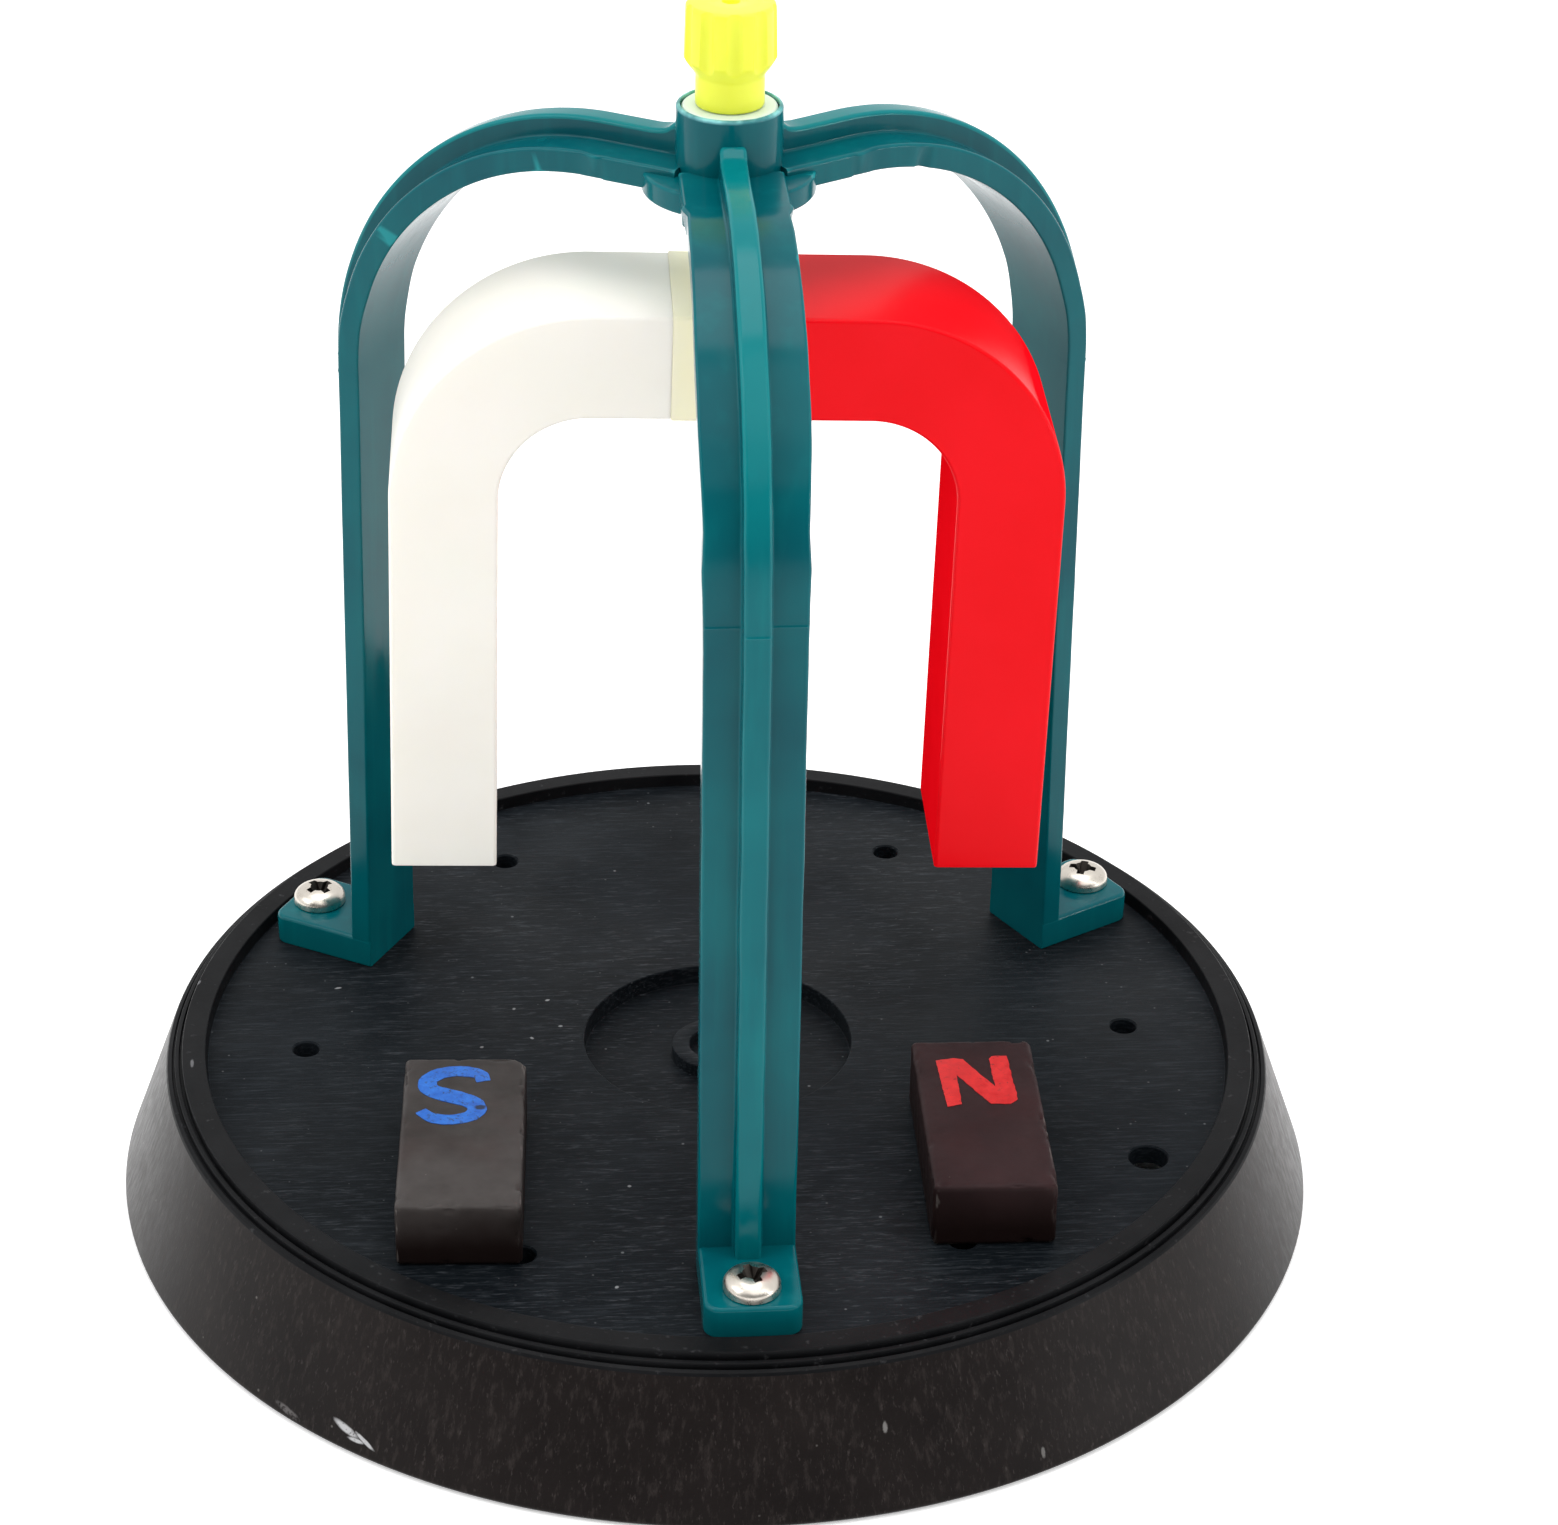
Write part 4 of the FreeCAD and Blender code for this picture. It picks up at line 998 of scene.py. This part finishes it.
# ================================================================== pole blocks
def block_mesh(hx, hy, hz, r, seed, chips):
    def axis_points(h):
        edge = [0.0, 0.1, 0.22, 0.36, 0.52, 0.72, 1.0]
        n = max(2, int(round(2 * (h - 1.0) / 0.62)))
        mid = [-h + 1.0 + 2 * (h - 1.0) * k / n for k in range(1, n)]
        return [-h + e for e in edge] + mid + [h - e for e in reversed(edge)]
    ax = [axis_points(h) for h in (hx, hy, hz)]
    index, verts, faces = {}, [], []

    def vid(p):
        key = tuple(round(c, 4) for c in p)
        if key not in index:
            index[key] = len(verts)
            verts.append(p)
        return index[key]
    hs = (hx, hy, hz)
    for a in range(3):
        b, c = (a + 1) % 3, (a + 2) % 3
        for sgn in (-1, 1):
            for i in range(len(ax[b]) - 1):
                for j in range(len(ax[c]) - 1):
                    q = []
                    for u, w in ((i, j), (i + 1, j), (i + 1, j + 1), (i, j + 1)):
                        p = [0, 0, 0]
                        p[a] = sgn * hs[a]
                        p[b] = ax[b][u]
                        p[c] = ax[c][w]
                        q.append(vid(tuple(p)))
                    faces.append(tuple(q) if sgn > 0 else tuple(reversed(q)))
    out = []
    for p in verts:
        core = [max(-(h - r), min(h - r, c)) for c, h in zip(p, hs)]
        d = [c - k for c, k in zip(p, core)]
        ln = math.sqrt(sum(x * x for x in d))
        near = sum(1 for x in d if abs(x) > 0.02)
        nrm = [x / ln for x in d]
        amount = 0.0
        if near >= 2:
            t = wobble(p[0], p[1], p[2], 0.55, seed)
            amount += max(0.0, t - 0.22) * 1.1 * min(1.0, near - 1)
        amount += 0.03 * wobble(p[0], p[1], p[2], 1.1, seed + 4) + 0.03 * wobble(p[0], p[1], p[2], 0.3, seed + 2) + 0.03
        for cx, cy, cz, cr, depth in chips:
            dd = math.dist(p, (cx, cy, cz)) / cr
            if dd < 1:
                amount += depth * (1 - dd * dd) ** 2
        s = r - max(0.0, amount)
        out.append(tuple(k + n_ * s for k, n_ in zip(core, nrm)))
    return out, faces


BLOCKS = {
    "s": (-35.3, -34.0, -2.5, S_FERRITE, 5.0, [(8.0, 16.9, 4.6, 2.0, 0.8), (8.0, -16.9, 1.0, 2.2, 0.35), (8.0, 8.6, 4.6, 1.1, 0.35),
                                               (5.9, -16.9, 4.6, 1.6, 0.4), (-2.5, -16.9, 1.2, 0.8, 0.3)]),
    "n": (32.3, -33.2, -1.2, N_FERRITE, 21.0, [(8.0, 16.9, 4.6, 1.2, 0.3), (7.6, -16.9, 4.6, 1.6, 0.35)]),
}
for tag, (bx, by, ba, mat, seed, chips) in BLOCKS.items():
    v, f = block_mesh(8.0, 16.9, 4.6, 0.75, seed, chips)
    v = turn_z([(x, y, z + 23.1) for x, y, z in v], ba)
    v = [(x + bx, y + by, z) for x, y, z in v]
    finish(raw_mesh("pole_block_%s_body" % tag, v, f), mat, "block_" + tag,
           ["pole_block_" + tag], sharp=60)


def letter(name, outline, place, mat, body, z_top=27.7, thick=0.07):
    """A painted pole letter: its outline, slightly raised over the block's top."""
    bx, by, ba = place
    n = len(outline)
    pts = []
    for i in range(n):
        a, b = outline[i], outline[(i + 1) % n]
        steps = max(1, int(math.dist(a, b) / 0.35))
        for k in range(steps):
            t = k / steps
            pts.append((a[0] * (1 - t) + b[0] * t, a[1] * (1 - t) + b[1] * t))
    pts = [(x + 0.13 * wobble(x, y, 0, 1.1, 2.2), y + 0.13 * wobble(x, y, 5, 1.1, 7.1)) for x, y in pts]
    bm = bmesh.new()
    low = [bm.verts.new((x, y, z_top - 0.09)) for x, y in pts]
    top = [bm.verts.new((x, y, z_top + thick - 0.03)) for x, y in pts]
    m = len(pts)
    for i in range(m):
        bm.faces.new((low[i], low[(i + 1) % m], top[(i + 1) % m], top[i]))
    f_top = bm.faces.new(top)
    f_low = bm.faces.new(list(reversed(low)))
    bmesh.ops.triangulate(bm, faces=[f_top, f_low])
    bmesh.ops.recalc_face_normals(bm, faces=bm.faces)
    me = bpy.data.meshes.new(name)
    rot = Matrix.Translation((bx, by, 0)) @ Matrix.Rotation(math.radians(ba), 4, "Z")
    bm.transform(Matrix.Scale(MM, 4) @ rot)
    bm.to_mesh(me)
    bm.free()
    ob = bpy.data.objects.new(name, me)
    scene.collection.objects.link(ob)
    finish(ob, mat, body, sharp=40, weighted=False)
    return ob


# N: two uprights and a slanting stroke
N_OUT_LINE = [(-5.6, 12.1), (-3.0, 12.5), (-1.6, 12.2), (2.35, 5.2), (2.2, 12.2), (2.7, 12.95), (4.9, 12.9), (5.3, 2.0),
              (4.2, 0.8), (1.3, 0.9), (-2.9, 8.3), (-2.85, 1.0), (-5.0, 0.3)]
N_OUT_LINE = [(x * 0.91, 6.9 + (y - 6.6) * 0.93) for x, y in N_OUT_LINE]
letter("pole_mark_n", N_OUT_LINE, BLOCKS["n"][:3], RED_PAINT, "block_n")

# S: one bent stroke of changing width
S_LINE = [(2.45, 11.2), (2.0, 12.6), (0.6, 13.35), (-1.5, 13.55), (-3.5, 12.9), (-4.75, 11.5), (-4.75, 9.9), (-3.6, 8.65), (-1.7, 7.75), (0.2, 6.9),
          (1.45, 5.8), (1.75, 4.5), (1.0, 3.2), (-0.6, 2.5), (-2.6, 2.4), (-4.3, 3.0), (-5.5, 4.4)]
S_WIDE = [0.75, 0.85, 0.95, 1.0, 1.0, 1.0, 1.1, 1.15, 1.2, 1.15, 1.05, 1.0, 0.95, 0.9, 0.9, 0.85, 0.65]


def smooth_line(pts, wid, per=5):
    out = []
    n = len(pts)
    for i in range(n - 1):
        p0, p1, p2, p3 = pts[max(0, i - 1)], pts[i], pts[i + 1], pts[min(n - 1, i + 2)]
        for k in range(per):
            t = k / per
            q = []
            for c in range(2):
                q.append(0.5 * (2 * p1[c] + (p2[c] - p0[c]) * t + (2 * p0[c] - 5 * p1[c] + 4 * p2[c] - p3[c]) * t * t
                                + (3 * p1[c] - p0[c] - 3 * p2[c] + p3[c]) * t ** 3))
            out.append((q[0], q[1], wid[i] * (1 - t) + wid[i + 1] * t))
    out.append((pts[-1][0], pts[-1][1], wid[-1]))
    return out


mid = smooth_line(S_LINE, S_WIDE)
left, right = [], []
for i, (x, y, w) in enumerate(mid):
    a, b = mid[max(0, i - 1)], mid[min(len(mid) - 1, i + 1)]
    dx, dy = b[0] - a[0], b[1] - a[1]
    ln = math.hypot(dx, dy)
    nx, ny = -dy / ln, dx / ln
    w *= 1.2
    left.append((x + nx * w, y + ny * w))
    right.append((x - nx * w, y - ny * w))
letter("pole_mark_s", left + list(reversed(right)), BLOCKS["s"][:3], BLUE_PAINT, "block_s")


# ================================================================== stage, light and camera
def plane_mesh(name, size, z):
    n = 2
    me = bpy.data.meshes.new(name)
    s = size / 2
    me.from_pydata([(-s, -s, z), (s, -s, z), (s, s, z), (-s, s, z)], [], [(0, 1, 2, 3)])
    ob = bpy.data.objects.new(name, me)
    scene.collection.objects.link(ob)
    return ob


floor = plane_mesh("table_floor", 6.0, -0.0002)
fm = Mat("table_white", Roughness=0.6)
fm.set("Base Color", (0.9, 0.9, 0.9, 1))
fm.set("Emission Color", (1.0, 1.0, 1.0, 1))
# the table glows a little, as a light table does, but not under the hollow base
fx = fm.xyz()
rad = fm.math("SQRT", fm.math("ADD", fm.math("MULTIPLY", fx[0], fx[0]), fm.math("MULTIPLY", fx[1], fx[1])))
fm.set("Emission Strength", fm.range(rad, 0.0775, 0.0810, 0.0, 0.35))
floor.data.materials.append(fm.mat)

# soft studio surroundings: white overhead, behind and at the sides, dim towards the front
world = bpy.data.worlds.new("studio")
scene.world = world
world.use_nodes = True
wt = world.node_tree
bg = wt.nodes["Background"]
bg.inputs[0].default_value = (1.0, 1.0, 1.0, 1)
wco = wt.nodes.new("ShaderNodeTexCoord")
wxyz = wt.nodes.new("ShaderNodeSeparateXYZ")
wt.links.new(wco.outputs["Generated"], wxyz.inputs[0])


def world_range(src, a, b, c, d):
    n = wt.nodes.new("ShaderNodeMapRange")
    n.interpolation_type = "SMOOTHSTEP"
    for i, val in enumerate((a, b, c, d)):
        n.inputs[1 + i].default_value = val
    wt.links.new(src, n.inputs[0])
    return n.outputs[0]


def world_times(a, b):
    n = wt.nodes.new("ShaderNodeMath")
    n.operation = "MULTIPLY"
    wt.links.new(a, n.inputs[0])
    wt.links.new(b, n.inputs[1])
    return n.outputs[0]


front = world_range(wxyz.outputs[1], -0.80, -0.35, 1.0, 0.0)
low = world_range(wxyz.outputs[2], 0.55, 0.85, 1.0, 0.0)
wt.links.new(world_range(world_times(front, low), 0.0, 1.0, 0.98, 0.22), bg.inputs[1])


def area(name, loc, target, size, power, size_y=None):
    li = bpy.data.lights.new(name, "AREA")
    li.shape = "RECTANGLE"
    li.size = size
    li.size_y = size_y or size
    li.energy = power
    ob = bpy.data.objects.new(name, li)
    scene.collection.objects.link(ob)
    d = Vector(target) - Vector(loc)
    ob.matrix_world = Matrix.Translation(loc) @ d.to_track_quat("-Z", "Y").to_matrix().to_4x4()
    return ob


area("softbox_left", (-0.80, -0.10, 0.75), (0, 0, 0.08), 0.5, 1.5)
area("softbox_front", (0.30, -0.80, 1.10), (0, 0, 0.08), 1.1, 3.0)
area("softbox_top", (0.0, 0.15, 1.30), (0, 0, 0.08), 0.8, 5.6)
area("strip_left", (-0.85, -0.50, 0.80), (0, 0, 0.11), 0.08, 1.2, 0.80)
area("strip_right", (0.85, -0.50, 0.80), (0, 0, 0.11), 0.08, 1.2, 0.80)
area("strip_low", (0.90, -0.42, 0.14), (0, 0, 0.14), 0.05, 0.7, 0.24)

cam = bpy.data.cameras.new("photo_camera")
cam.lens = 94.837
cam.sensor_width = 36.0
cam.sensor_fit = "HORIZONTAL"
cam.clip_start = 0.01
cam.clip_end = 20
cam_ob = bpy.data.objects.new("photo_camera", cam)
scene.collection.objects.link(cam_ob)
yaw, pitch, roll = 0.08914711, 0.51265429, 0.02079424
d = Vector((math.sin(yaw) * math.cos(pitch), math.cos(yaw) * math.cos(pitch), -math.sin(pitch)))
r0 = Vector((math.cos(yaw), -math.sin(yaw), 0))
u0 = r0.cross(d)
rr = math.cos(roll) * r0 + math.sin(roll) * u0
uu = -math.sin(roll) * r0 + math.cos(roll) * u0
cam_ob.matrix_world = Matrix(((rr.x, uu.x, -d.x, -0.0345486), (rr.y, uu.y, -d.y, -0.4722664),
                              (rr.z, uu.z, -d.z, 0.3285518), (0, 0, 0, 1)))
scene.camera = cam_ob
scene.view_settings.view_transform = "Standard"
scene.view_settings.look = "None"
